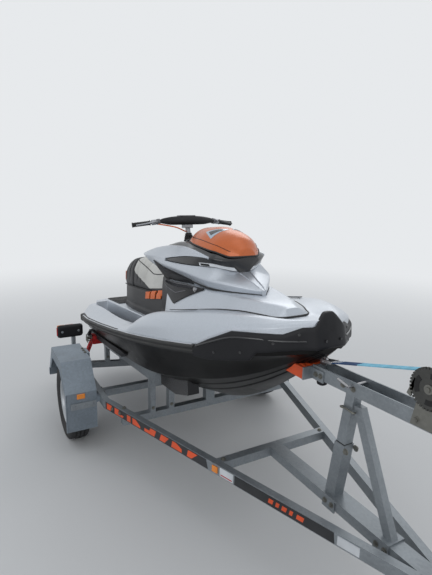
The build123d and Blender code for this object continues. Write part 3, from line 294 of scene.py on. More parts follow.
def bevelled(obj, width):
    """Rounded edges."""
    mod = obj.modifiers.new("edges", "BEVEL")
    mod.width = width
    mod.segments = 2
    mod.limit_method = "ANGLE"
    mod.angle_limit = math.radians(30)
    mod.harden_normals = True
    return obj


def paint(node_name, mat, bevel=0.0):
    """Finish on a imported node, with its edges rounded."""
    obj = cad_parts[node_name]
    obj.data.materials.clear()
    obj.data.materials.append(MATS[mat])
    return bevelled(obj, bevel) if bevel else obj


def square_to(along):
    """Two directions square to a third."""
    other = Vector((0, 0, 1)) if abs(along.z) < 0.9 else Vector((1, 0, 0))
    u = along.cross(other).normalized()
    return u, along.cross(u)


def circle(centre, u, v, radius, sides):
    """Points round a centre in the plane of two directions."""
    turns = (2 * math.pi * i / sides for i in range(sides))
    return [centre + (u * math.cos(t) + v * math.sin(t)) * radius for t in turns]


def grid_faces(rows, width, closed=True, turned=False):
    """Quads between rows of points; closed joins each row's ends, and turned the last row to the first."""
    faces = []
    for r in range(rows if turned else rows - 1):
        q = (r + 1) % rows
        for c in range(width if closed else width - 1):
            d = (c + 1) % width
            faces.append((r * width + c, r * width + d, q * width + d, q * width + c))
    return faces


class Parts:
    """Many small solids that become one piece."""

    def __init__(self):
        self.verts = []
        self.faces = []

    def add(self, verts, faces):
        """Vertices and faces of one solid."""
        base = len(self.verts)
        self.verts += [tuple(v) for v in verts]
        self.faces += [tuple(base + i for i in face) for face in faces]

    def between(self, low, high):
        """Solid between two equal rings of points."""
        n = len(low)
        caps = [tuple(range(n)), tuple(range(2 * n - 1, n - 1, -1))]
        self.add([*low, *high], caps + grid_faces(2, n))

    def prism(self, outline, a, b, place):
        """Outline of (u, v) points carried from depth a to depth b by place(u, v, depth)."""
        self.between(*([place(u, v, depth) for u, v in outline] for depth in (a, b)))

    def box(self, lo, hi, place=row):
        """Box between two corners."""
        (x0, y0, z0), (x1, y1, z1) = lo, hi
        self.prism([(x0, y0), (x1, y0), (x1, y1), (x0, y1)], z0, z1, place)

    def side_box(self, k, lo, hi):
        """Box between two corners that are given for the port side, on side k."""
        y0, y1 = sorted((k * lo[1], k * hi[1]))
        self.box((lo[0], y0, lo[2]), (hi[0], y1, hi[2]))

    def rod(self, a, b, r, sides=20, r_end=None):
        """Cylinder or cone between two row-frame points."""
        p, q = Vector(a), Vector(b)
        u, v = square_to((q - p).normalized())
        self.between(circle(p, u, v, r, sides), circle(q, u, v, r if r_end is None else r_end, sides))

    def lathe(self, profile, centre, axis, sides=48):
        """Ring turned about an axis through centre; profile points are (along, radius)."""
        along = Vector(axis).normalized()
        u, v = square_to(along)
        c = Vector(centre)
        verts = []
        for out in circle(Vector(), u, v, 1, sides):
            verts += [c + along * h + out * r for h, r in profile]
        self.add(verts, grid_faces(sides, len(profile), turned=True))

    def bolt(self, at, out, r=0.009, head=0.007):
        """Washer and hexagon head standing on a face."""
        p = Vector(at)
        n = Vector(out).normalized()
        self.rod(p - n * 0.001, p + n * 0.002, r * 1.5, 20)
        self.rod(p + n * 0.001, p + n * (0.002 + head), r, 6)
        self.rod(p + n * 0.002, p + n * (0.004 + head), r * 0.5, 12)

    def done(self, name, mat, slot, body=ROOT, bevel=0.0, sharp=35.0):
        """The piece."""
        obj = make(name, self.verts, self.faces, mat, slot, body, sharp)
        return bevelled(obj, bevel) if bevel else obj


def cubic(xs, ys, x):
    """Smooth value through given points, without overshoot."""
    n = len(xs)
    k = 0
    while k < n - 2 and x > xs[k + 1]:
        k += 1

    def slope(i):
        """Limited slope at a point."""
        if i <= 0 or i >= n - 1:
            j = 0 if i <= 0 else n - 2
            return (ys[j + 1] - ys[j]) / (xs[j + 1] - xs[j])
        a = (ys[i] - ys[i - 1]) / (xs[i] - xs[i - 1])
        b = (ys[i + 1] - ys[i]) / (xs[i + 1] - xs[i])
        if a * b <= 0:
            return 0.0
        return 2 * a * b / (a + b)

    h = xs[k + 1] - xs[k]
    t = (x - xs[k]) / h
    rest = ys[k] * (2 * t**3 - 3 * t**2 + 1) + slope(k) * h * (t**3 - 2 * t**2 + t)
    return rest + ys[k + 1] * (3 * t**2 - 2 * t**3) + slope(k + 1) * h * (t**3 - t**2)


def straight(xs, ys, x):
    """Value on straight lines through given points."""
    k = 0
    while k < len(xs) - 2 and x > xs[k + 1]:
        k += 1
    return ys[k] + (ys[k + 1] - ys[k]) * (x - xs[k]) / (xs[k + 1] - xs[k])


def smooth_at(table, i, s):
    """Smooth value of a table's column at a station."""
    return cubic([r[0] for r in table], [r[i] for r in table], s)


def straight_at(table, i, s):
    """Value of a table's column at a station, on straight lines."""
    return straight([r[0] for r in table], [r[i] for r in table], s)


def rounded(points, arc=4, closed=False):
    """Polyline with its corners turned to small curves; a point is y, z, radius."""
    loop = [points[-1], *points, points[0]] if closed else points
    out = []
    for before, here, after in zip(loop, loop[1:], loop[2:]):
        p, q, r = Vector(before[:2]), Vector(here[:2]), Vector(after[:2])
        a, b = (p - q), (r - q)
        cut = min(here[2], a.length * 0.48, b.length * 0.48)
        start = q + a.normalized() * cut if a.length > 1e-9 else q
        end = q + b.normalized() * cut if b.length > 1e-9 else q
        for i in range(arc + 1):
            t = i / arc
            w = start * (1 - t) ** 2 + q * 2 * t * (1 - t) + end * t**2
            out.append((w.x, w.y))
    return out if closed else [points[0][:2], *out, points[-1][:2]]


def stations(marks, step):
    """Stations through given marks, with extra ones between them."""
    out = []
    for a, b in zip(marks, marks[1:]):
        count = max(1, math.ceil(abs(b - a) / step))
        out += [a + (b - a) * i / count for i in range(count)]
    return out + [marks[-1]]


def spread(a, b, count):
    """Even values from a to b."""
    return [a + (b - a) * i / count for i in range(count + 1)]


def loft(sections, closed=False, caps=(True, True)):
    """Vertices and faces through equal sections of placed points."""
    width = len(sections[0])
    faces = grid_faces(len(sections), width, closed)
    if caps[0]:
        faces.append(tuple(range(width)))
    if caps[1]:
        faces.append(tuple((len(sections) - 1) * width + c for c in reversed(range(width))))
    return [v for line in sections for v in line], faces


def sections_of(rows, step=0.03, arc=4, closed=False, place=craft, side=1, only=None):
    """Placed sections through rows of (station, [(y, z, radius), ...]); an open half is mirrored."""
    xs = [r[0] for r in rows]
    out = []
    for s in (only or stations(xs, step)):
        half = []
        for i in range(len(rows[0][1])):
            y, z, rad = (cubic(xs, [r[1][i][j] for r in rows], s) for j in range(3))
            half.append((y, z, max(0.0, rad)))
        line = rounded(half, arc, closed)
        if not closed:
            line = line + [(-y, z) for y, z in reversed(line[:-1])]
        out.append([place(s, side * y, z) for y, z in line])
    return out


def skin(name, rows, mat, slot, body=ROOT, step=0.03, arc=4, closed=False, place=craft):
    """Surface through sections; a row is a station and its (y, z, radius) points."""
    return make(name, *loft(sections_of(rows, step, arc, closed, place), closed), mat, slot, body, 38.0)


def tube(name, path, radius, mat, slot, body=ROOT, sides=16, ends=True):
    """Round bar along a path of row-frame points; radius is one value or one for each point."""
    points = [Vector(p) for p in path]
    radii = radius if isinstance(radius, list) else [radius] * len(points)
    verts = []
    last = None
    for k, p in enumerate(points):
        along = (points[min(len(points) - 1, k + 1)] - points[max(0, k - 1)]).normalized()
        if last is None:
            last = square_to(along)[0]
        else:
            last = (last - along * last.dot(along)).normalized()
        verts += circle(p, last, along.cross(last), radii[k], sides)
    faces = grid_faces(len(points), sides)
    if ends:
        faces.append(tuple(reversed(range(sides))))
        faces.append(tuple((len(points) - 1) * sides + i for i in range(sides)))
    return make(name, verts, faces, mat, slot, body)


def curve_points(points, step=8):
    """Smooth path through points."""
    p = [Vector(q) for q in points]
    out = []
    for k in range(len(p) - 1):
        a, b, c, d = p[max(0, k - 1)], p[k], p[k + 1], p[min(len(p) - 1, k + 2)]
        for i in range(step):
            t = i / step
            bend = (2 * a - 5 * b + 4 * c - d) * t**2 + (3 * b - a - 3 * c + d) * t**3
            out.append(0.5 * (2 * b + (c - a) * t + bend))
    return out + [p[-1]]


def strip(name, path, across, width, thick, mat, slot, body=ROOT):
    """Flat band along a path; across is the direction of its width."""
    points = [Vector(p) for p in path]
    verts = []
    for k, p in enumerate(points):
        along = (points[min(len(points) - 1, k + 1)] - points[max(0, k - 1)]).normalized()
        wide = Vector(across).normalized()
        wide = (wide - along * wide.dot(along)).normalized()
        up = wide.cross(along).normalized()
        for a, b in ((-1, -1), (1, -1), (1, 1), (-1, 1)):
            verts.append(p + wide * (a * width / 2) + up * (b * thick / 2))
    faces = grid_faces(len(points), 4)
    faces += [(3, 2, 1, 0), tuple(len(verts) - 4 + i for i in range(4))]
    return make(name, verts, faces, mat, slot, body)


def patch(name, at, us, vs, thick, mat, slot, body=ROOT, keep=None, sharp=50.0):
    """Thin raised patch on a surface: at(u, v) gives the point, us and vs the grid; keep(u, v) trims it."""
    verts, faces = [], []
    index = {}

    def vertex(i, j, level):
        """Vertex of the grid on the lower or upper side."""
        key = (i, j, level)
        if key not in index:
            p = Vector(at(us[i], vs[j]))
            a = Vector(at(us[min(i + 1, len(us) - 1)], vs[j])) - Vector(at(us[max(i - 1, 0)], vs[j]))
            b = Vector(at(us[i], vs[min(j + 1, len(vs) - 1)])) - Vector(at(us[i], vs[max(j - 1, 0)]))
            n = a.cross(b).normalized()
            index[key] = len(verts)
            verts.append(p + n * (thick if level else -0.001))
        return index[key]

    def kept(i, j):
        """Whether a grid cell belongs to the patch."""
        if i < 0 or j < 0 or i >= len(us) - 1 or j >= len(vs) - 1:
            return False
        return keep is None or keep((us[i] + us[i + 1]) / 2, (vs[j] + vs[j + 1]) / 2)

    for i in range(len(us) - 1):
        for j in range(len(vs) - 1):
            if not kept(i, j):
                continue
            ring = [(i, j), (i + 1, j), (i + 1, j + 1), (i, j + 1)]
            faces.append(tuple(vertex(a, b, 1) for a, b in ring))
            faces.append(tuple(vertex(a, b, 0) for a, b in reversed(ring)))
            beside = ((i, j - 1), (i + 1, j), (i, j + 1), (i - 1, j))
            for a, b, cell in zip(ring, ring[1:] + ring[:1], beside):
                if not kept(*cell):
                    faces.append((vertex(*b, 1), vertex(*a, 1), vertex(*a, 0), vertex(*b, 0)))
    return make(name, verts, faces, mat, slot, body, sharp)


# Hull shell: sections with two lifting strakes, and the pump tunnel at the stern
HULL = [
    # s, keel_z, chine_y, chine_z, edge_y
    (0, 0, 0.430, 0.185, 0.485),
    (0.5, 0, 0.460, 0.188, 0.550),
    (1.0, 0, 0.475, 0.195, 0.578),
    (1.45, 0, 0.475, 0.205, 0.586),
    (1.78, 0.008, 0.464, 0.222, 0.577),
    (1.95, 0.024, 0.448, 0.240, 0.562),
    (2.2, 0.090, 0.395, 0.280, 0.530),
    (2.4, 0.178, 0.340, 0.318, 0.486),
    (2.48, 0.222, 0.308, 0.338, 0.462),
    (2.56, 0.268, 0.272, 0.362, 0.428),
    (2.68, 0.345, 0.208, 0.408, 0.358),
    (2.82, 0.440, 0.125, 0.478, 0.250),
    (NOSE_S, 0.526, 0.042, 0.538, 0.085),
]
TUNNEL_S = 0.36
TUNNEL_Y = 0.14
TUNNEL_Z = 0.215
PUMP_Z = 0.108


def hull_edge(s):
    """Half width of the hull-to-deck joint."""
    return straight_at(HULL, 4, s)


def hull_rows(tunnel):
    """Hull sections from the joint down to the keel, or to the tunnel's roof."""
    rows = []
    for s, keel, cy, cz, ey in HULL:
        top = bond(s)
        size = cy / HULL[0][2]
        slope = (cz - keel) / cy
        points = [(ey, top, 0), (ey - 0.001, top - 0.022, 0.004)]
        points += [(cy + (ey - cy) * 0.42, cz + (top - cz) * 0.40, 0.05), (cy, cz, 0.006)]
        for share in (0.72, 0.44):
            y = cy * share
            z = keel + slope * y
            points += [(y + 0.012 * size, z + 0.002, 0.002), (y, z - 0.010 * size, 0.002)]
        if tunnel:
            points += [(TUNNEL_Y, keel + slope * TUNNEL_Y, 0.004), (TUNNEL_Y, TUNNEL_Z, 0.01), (0, TUNNEL_Z, 0)]
        else:
            points += [(0, keel, 0)]
        rows.append((s, points))
    return rows


def build_hull():
    """Dark bottom shell with its intake grate."""
    shell = Parts()
    ahead = stations([TUNNEL_S] + [r[0] for r in HULL[1:]], 0.04)
    shell.add(*loft(sections_of(hull_rows(True), only=stations([0, TUNNEL_S], 0.06)), caps=(True, False)))
    shell.add(*loft(sections_of(hull_rows(False), only=ahead)))
    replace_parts(shell.done("hull_shell", "hull", "hull_shell"), "hull")
    # The box under the grate is painted shade: a near-black block standing for the dark intake opening.
    grate = Parts()
    grate.box((0.44, -0.075, -0.004), (0.80, 0.075, 0.030), craft)
    grate.done("intake_mouth", "bore", "black_trim")
    bars = Parts()
    for y in (-0.06, -0.036, -0.012, 0.012, 0.036, 0.06):
        bars.rod(craft(0.43, y, -0.004), craft(0.81, y, -0.004), 0.005, 10)
    for s0, s1 in ((0.42, 0.445), (0.795, 0.82)):
        bars.box((s0, -0.085, -0.006), (s1, 0.085, 0.028), craft)
    bars.done("intake_grate", "alloy", "pump_metal", bevel=0.002)
    plugs = Parts()
    for k in (1, -1):
        for s0, s1, r, sides in ((0.004, -0.010, 0.020, 24), (-0.008, -0.018, 0.012, 6)):
            plugs.rod(craft(s0, k * 0.235, 0.135), craft(s1, k * 0.235, 0.135), r, sides)
    plugs.done("drain_plugs", "plastic", "black_trim", bevel=0.001)


# Deck shell
STERN = [
    # s, shoulder_in, shoulder_z, ridge_in, ridge_z, well_out, well_z
    (0, 0.011, 0.345, 0.075, 0.418, 0.345, 0.452),
    (0.105, 0.012, 0.352, 0.085, 0.423, 0.371, 0.448),
    (0.125, 0.012, 0.353, 0.087, 0.424, 0.372, WELL_Z),
    (0.5, 0.014, 0.378, 0.120, 0.440, 0.393, WELL_Z),
    (1.0, 0.016, 0.420, 0.116, 0.446, 0.420, WELL_Z),
    (1.43, 0.015, 0.458, 0.102, 0.472, 0.432, WELL_Z),
    (1.59, 0.011, 0.476, 0.092, 0.500, 0.378, WELL_Z),
    (1.61, 0.010, 0.479, 0.091, 0.504, 0.368, 0.468),
    (NECK_S, 0.009, 0.482, 0.089, 0.510, 0.330, 0.474),
]
BOW = [
    # s, band_high, shoulder_in, shoulder_z, ridge_y, ridge_z, neck_y, neck_z, roof_y, roof_z
    (NECK_S, 0.024, 0.009, 0.482, 0.492, 0.510, 0.300, 0.470, 0.245, roof(NECK_S)),
    (1.78, 0.024, 0.007, 0.540, 0.490, 0.592, 0.318, 0.560, 0.250, roof(1.78)),
    (ROOF_S, 0.024, 0.006, 0.582, 0.478, 0.640, 0.322, 0.618, 0.245, roof(ROOF_S)),
    (2.2, 0.024, 0.010, 0.615, 0.445, 0.675, 0.290, 0.660, 0.198, roof(2.2)),
    (2.4, 0.024, 0.016, 0.632, 0.392, 0.700, 0.240, 0.682, 0.140, roof(2.4)),
    (2.48, 0.033, 0.014, 0.640, 0.362, 0.706, 0.205, 0.684, 0.112, roof(2.48)),
    (2.56, 0.070, 0.016, 0.650, 0.325, 0.710, 0.172, 0.680, 0.084, roof(2.56)),
    (2.68, 0.107, 0.018, 0.668, 0.255, 0.712, 0.115, 0.668, 0.034, 0.712),
    (2.705, 0.107, 0.018, 0.670, 0.239, 0.711, 0.110, 0.667, 0.036, 0.668),
    (2.82, 0.109, 0.020, 0.680, 0.160, 0.703, 0.088, 0.668, 0.040, 0.666),
    (NOSE_S, 0.112, 0.014, 0.690, 0.052, 0.700, 0.030, 0.694, 0.012, 0.696),
]


def neck_wall(s, z):
    """Half width of the neck's side wall, or of the console behind it."""
    t = max(s, NECK_S)
    nk_y, nk_z = smooth_at(BOW, 6, t), smooth_at(BOW, 7, t)
    rf_y, rf_z = smooth_at(BOW, 8, t), smooth_at(BOW, 9, t)
    wall = rf_y + (nk_y - rf_y) * (rf_z - z) / (rf_z - nk_z)
    return wall - max(0.0, NECK_S - s) * 0.22


def build_deck():
    """Silver top shell: stern deck with footwells, then the bow deck and neck."""
    rows = []
    for s, sh_in, sh_z, rg_in, rg_z, well, well_z in STERN:
        ey = hull_edge(s)
        base = bond(s)
        ridge = ey - rg_in
        rows.append((s, [
            (ey, base, 0), (ey, base + 0.024, 0.004), (ey - sh_in, sh_z, 0.018), (ridge, rg_z, 0.018),
            (well + 0.003, rg_z + 0.004, 0.010), (well, well_z, 0.012), (WELL_IN, well_z, 0.012),
            (WELL_IN - 0.004, SOLE_Z, 0.010), (0, SOLE_Z, 0),
        ]))
    xs = [0, 0.1, 0.105, 0.112, 0.118, 0.125] + stations([0.14, 1.59], 0.04) + [1.597, 1.603, 1.61, NECK_S]
    deck = Parts()
    deck.add(*loft(sections_of(rows, only=xs)))
    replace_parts(deck.done("stern_deck", "silver", "deck_silver"), "deck")
    rows = []
    for s, band, sh_in, sh_z, rg_y, rg_z, nk_y, nk_z, rf_y, rf_z in BOW:
        ey = hull_edge(s)
        base = bond(s)
        rows.append((s, [
            (ey, base, 0), (ey, base + band, 0.004), (ey - sh_in, sh_z, 0.035), (rg_y, rg_z, 0.045),
            (nk_y, nk_z, 0.022), (rf_y, rf_z, 0.020), (0, rf_z + 0.001, 0),
        ]))
    bow = skin("bow_deck", rows, "silver", "deck_silver", step=0.022, arc=6)
    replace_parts(bow, "deck")
    for k, side in SIDES:
        def flank(s, share):
            """Dark panel on the stern's side, between the rail and the pale ridge."""
            ey = hull_edge(s)
            low, high = bond(s) + 0.026, straight_at(STERN, 2, s) - 0.006
            return craft(s, k * (ey - straight_at(STERN, 1, s) * share + 0.001), low + (high - low) * share)

        patch("flank_panel_" + side, flank, spread(0.03, 1.50, 40)[::-k], spread(0.0, 1.0, 4), 0.003, "plastic",
              "black_trim")
        # Painted shade: a dark rubber rod along the neck's foot stands for the shadow in the groove there.
        groove = []
        for s in stations([2.02, 2.2, 2.4, 2.56, 2.66], 0.05):
            groove.append(craft(s, k * (smooth_at(BOW, 6, s) - 0.006), smooth_at(BOW, 7, s) + 0.004))
        groove += [craft(2.694, k * 0.085, 0.672), craft(2.706, k * 0.045, 0.672), craft(2.708, 0, 0.672)]
        tube("neck_groove_shade_" + side, curve_points(groove, 4), 0.0055, "rubber", "black_trim", sides=10)
        for name, s0, s1, up, wide, thick, mat, slot in (
            ("pod_slot_", 2.05, 2.30, 0.001, 0.016, 0.004, "plastic", "black_trim"),
            ("pod_inlay_", 2.065, 2.285, 0.004, 0.007, 0.003, "label", "deck_silver"),
        ):
            ridge = [craft(s, k * (smooth_at(BOW, 4, s) - 0.055), smooth_at(BOW, 5, s) + up)
                     for s in spread(s0, s1, 8)]
            strip(name + side, ridge, (0, 1, 0.12 * k), wide, thick, mat, slot)
    pad = Parts()
    pad.box((0.02, -0.235, SOLE_Z), (0.40, 0.235, SOLE_Z + 0.007), craft)
    for s in spread(0.04, 0.38, 14):
        pad.box((s - 0.006, -0.225, SOLE_Z + 0.006), (s + 0.006, 0.225, SOLE_Z + 0.011), craft)
    pad.done("stern_pad", "mat", "mat_grey", bevel=0.001)


# Rubber rails and the bow bumper
BUMPER = [
    # s, drop, rise
    (2.48, 0.035, 0.020),
    (2.56, 0.048, 0.053),
    (2.68, 0.048, 0.098),
    (2.755, 0.043, 0.091),
    (2.782, 0.008, 0.088),
    (2.82, 0.006, 0.085),
    (2.867, 0.004, 0.080),
    (2.92, 0.003, 0.105),
    (NOSE_S, 0.003, 0.104),
]


def build_rails():
    """Gunwale rubber with a groove and a pale inlay on its upper edge, on both sides."""
    rails = Parts()
    for k, side in SIDES:
        rows = []
        for s, *_, ey in HULL[:9]:
            low, high, out = bond(s) - 0.024, bond(s) + 0.024, ey + 0.024
            mid = (low + high) / 2
            rows.append((s, [
                (ey, low, 0), (out - 0.008, low, 0.008), (out, low + 0.010, 0.006), (out, mid - 0.007, 0.002),
                (out - 0.005, mid - 0.003, 0.002), (out - 0.005, mid + 0.003, 0.002), (out, mid + 0.007, 0.002),
                (out, high - 0.008, 0.006), (out - 0.010, high, 0.005), (ey, high, 0),
            ]))
        rails.add(*loft(sections_of(rows, 0.05, 3, True, craft, k), True))
        inlay = [craft(s, k * (hull_edge(s) + 0.009), bond(s) + 0.0248) for s in stations([0.02, 2.46], 0.05)]
        strip("rail_inlay_" + side, inlay, (0, 1, 0), 0.009, 0.003, "label", "deck_silver")
    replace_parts(rails.done("rail_rubber", "rubber", "rubber_black"), "gunwales")
    cups = Parts()
    for k in (1, -1):
        corner = ((-0.03, -0.034, 0.01), (0.026, -0.034, 0.016), (0.026, 0.030, 0.014), (-0.02, 0.036, 0.012))
        rows = [(s, [(hull_edge(s) + y, bond(s) + z, r) for y, z, r in corner]) for s in (-0.008, 0.09)]
        cups.add(*loft(sections_of(rows, 0.05, 4, True, craft, k), True))
    cups.done("stern_corners", "rubber", "rubber_black", bevel=0.004)


def bumper_z(s, share):
    """Height on the bumper's face, share 0 at its lower edge and 1 at its upper edge."""
    drop, rise = straight_at(BUMPER, 1, s), straight_at(BUMPER, 2, s)
    return bond(s) - drop + (rise + drop) * share


def build_bumper():
    """Black bumper wrapped round the stem, with a rib and screws on its face."""
    path = []
    for s, drop, rise in BUMPER[:-1]:
        path.append((s, hull_edge(s) + BUMPER_T, bond(s) - drop, bond(s) + rise, 0.0))
    path += [(2.950, 0.104, 0.560, 0.668, 0.006), (2.964, 0.090, 0.560, 0.674, 0.010),
             (2.973, 0.070, 0.563, 0.694, 0.016), (2.978, 0.048, 0.565, 0.716, 0.022),
             (2.980, 0.026, 0.567, 0.732, 0.024), (2.980, 0.0, 0.567, 0.734, 0.024)]
    half = []
    for start, end in zip(path, path[1:]):
        count = max(1, math.ceil(math.hypot(end[0] - start[0], end[1] - start[1]) / 0.012))
        half += [tuple(a + (b - a) * i / count for a, b in zip(start, end)) for i in range(count)]
    whole = half + [path[-1]] + [(s, -y, lo, hi, lean) for s, y, lo, hi, lean in reversed(half)]
    lines = []
    for i, (s, y, lo, hi, lean) in enumerate(whole):
        before, after = whole[max(0, i - 3)], whole[min(len(whole) - 1, i + 3)]
        along = Vector((after[0] - before[0], after[1] - before[1])).normalized()
        inward = Vector((-along.y, along.x))
        if inward.x > 0:
            inward = -inward
        outline = rounded([
            (0.030, lo, 0.002), (0.004, lo, 0.008), (0, lo + 0.014, 0.010), (lean, hi - 0.016, 0.012),
            (lean + 0.007, hi, 0.008), (lean + 0.030, hi, 0.002),
        ], 4, True)
        lines.append([craft(s + inward.x * d, y + inward.y * d, z) for d, z in outline])
    body = Parts()
    body.add(*loft(lines, True))
    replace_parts(body.done("bow_bumper", "plastic", "rubber_black", sharp=45), "bumper")
    for k, side in SIDES:
        rib = []
        for s, share in ((2.50, 0.86), (2.58, 0.84), (2.68, 0.80), (2.78, 0.74), (2.86, 0.60), (2.93, 0.40)):
            rib.append(craft(s, k * (hull_edge(s) + BUMPER_T), bumper_z(s, share)))
        tube("bumper_rib_" + side, curve_points(rib, 5), 0.005, "plastic_gloss", "rubber_black", sides=10)
    screws = Parts()
    for k in (1, -1):
        for s, share in ((2.60, 0.35), (2.72, 0.3), (2.84, 0.5), (2.91, 0.75)):
            ey = hull_edge(s)
            slope = (hull_edge(s + 0.01) - hull_edge(s - 0.01)) / 0.02
            out = Vector(craft(s - slope * 0.1, k * (ey + 0.1), 0.5)) - Vector(craft(s, k * ey, 0.5))
            at = Vector(craft(s, k * (ey + BUMPER_T), bumper_z(s, share)))
            screws.rod(at, at + out.normalized() * 0.003, 0.007, 16)
            screws.rod(at, at + out.normalized() * 0.0045, 0.003, 8)
    for y in (-0.045, 0.045):
        at = Vector(craft(NOSE_S + 0.037, y, 0.605))
        screws.rod(at, at + Vector((0.004, 0, 0)), 0.007, 16)
    screws.done("bumper_screws", "plastic_gloss", "black_trim")


# Console and knee panels
def build_console():
    """Dark console under the dash and the knee panels on the neck's sides."""
    rows = []
    for s, low_y, top_y in ((DASH_S, 0.236, 0.196), (NECK_S, 0.264, 0.236)):
        rows.append((s, [
            (low_y, SOLE_Z, 0), (low_y - 0.004, SOLE_Z + 0.05, 0.01), (low_y - 0.020, SOLE_Z + 0.10, 0.01),
            (top_y + 0.012, ROOF_Z - 0.08, 0.01), (top_y, ROOF_Z, 0.004), (0, ROOF_Z, 0),
        ]))
    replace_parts(skin("console_body", rows, "plastic", "black_trim", step=0.05), "console")
    for k, side in SIDES:
        def panel(s, share):
            """Point on the knee panel, from its lower to its upper edge."""
            low = straight([1.50, 1.83, 2.13], [0.742, 0.652, 0.768], s)
            high = roof(s) - 0.003 - max(0.0, 1.54 - s) * 0.9
            z = low + (high - low) * share
            return craft(s, k * neck_wall(s, z), z)

        def above(s, share, height=0.006):
            """Panel surface moved outwards."""
            return Vector(panel(s, share)) + Vector((0, k * height, 0))

        patch("knee_panel_" + side, panel, spread(1.505, 2.12, 30)[::-k], spread(0.0, 1.0, 8), 0.007, "plastic",
              "black_trim")
        patch("knee_mesh_" + side, above, spread(1.56, 2.05, 24)[::-k], spread(0.76, 0.97, 3), 0.003,
              "plastic_grey", "black_trim")
        ribs = Parts()
        for s in spread(1.575, 2.035, 34):
            ribs.rod(above(s, 0.78, 0.010), above(s + 0.012, 0.95, 0.010), 0.0025, 8)
        ribs.done("knee_ribs_" + side, "plastic", "black_trim")
        line = [above(s, 0.45 + 0.3 * (s - 1.56), 0.0085) for s in spread(1.56, 1.96, 12)]
        strip("knee_line_" + side, line, (0, 0, 1), 0.004, 0.003, "plastic_grey", "black_trim")

        def brow(s, share):
            """Point on the cowl's flank above the knee panel."""
            foot_y, low_y, low_z, wide_y, wide_z = (smooth_at(COWL, i, s) for i in (1, 2, 3, 4, 5))
            if share < 0:
                drop = (roof(s) + 0.002 - low_z) * -share
                return craft(s, k * (low_y + (foot_y - low_y) * -share), low_z + drop)
            reach = straight([1.45, 1.60, 2.00], [0.85, 0.60, 0.04], s) * share
            return craft(s, k * (low_y + (wide_y - low_y) * reach), low_z + (wide_z - low_z) * reach)

        shares = spread(-1.0, 0.0, 5)[:-1] + spread(0, 1, 5)
        patch("brow_band_" + side, brow, spread(1.440, 1.99, 36)[::-k], shares, 0.005, "plastic", "black_trim")
        knob = Parts()
        at = Vector(panel(2.055, 0.6))
        knob.rod(at, at + Vector((0, k * 0.014, 0)), 0.016, 24)
        knob.rod(at + Vector((0, k * 0.012, 0)), at + Vector((0, k * 0.018, 0)), 0.008, 6)
        knob.done("knee_bolt_" + side, "steel", "stainless", bevel=0.001)


# Silver cowl: lower body, upper wings and their free ends
COWL = [
    # s, foot_y, low_y, low_z, wide_y, wide_z, lip_y, lip_z
    (DASH_S, 0.185, 0.245, 0.876, 0.275, 0.925, 0.278, 0.940),
    (NECK_S, 0.225, 0.250, 0.852, 0.285, 0.898, 0.278, 0.926),
    (1.78, 0.235, 0.248, 0.839, 0.285, 0.887, 0.268, 0.917),
    (ROOF_S, 0.225, 0.241, 0.820, 0.274, 0.868, 0.248, 0.909),
    (2.14, 0.190, 0.213, 0.787, 0.238, 0.835, 0.170, 0.900),
    (2.22, 0.165, 0.175, 0.775, 0.190, 0.822, 0.040, 0.869),
    (2.425, 0.006, 0.012, 0.752, 0.020, 0.775, 0.008, 0.779),
]
WING = [
    # s, low_y, low_z, top_y, top_z, in_y, in_z
    (DASH_S, 0.280, 0.950, 0.232, 1.014, 0.168, 0.985),
    (NECK_S, 0.277, 0.938, 0.216, 1.030, 0.160, 1.002),
    (1.78, 0.270, 0.950, 0.212, 1.028, 0.165, 1.008),
    (ROOF_S, 0.244, 0.960, 0.214, 1.008, 0.190, 0.998),
    (2.14, 0.205, 0.955, 0.199, 0.966, 0.193, 0.958),
]
WING_END = [
    # s, inner_y, inner_z, then the corners from the low one up
    (1.205, 0.243, 0.946, 0.246, 0.938, 0.256, 0.942, 0.260, 0.947, 0.261, 0.953, 0.250, 0.966, 0.240, 0.955),
    (1.32, 0.225, 0.930, 0.250, 0.893, 0.274, 0.928, 0.279, 0.940, 0.281, 0.950, 0.240, 0.996, 0.200, 0.972),
]
SLOT_S = 1.66
CORNER_R = (0.004, 0.012, 0.014, 0.008, 0.008, 0.024, 0.008)


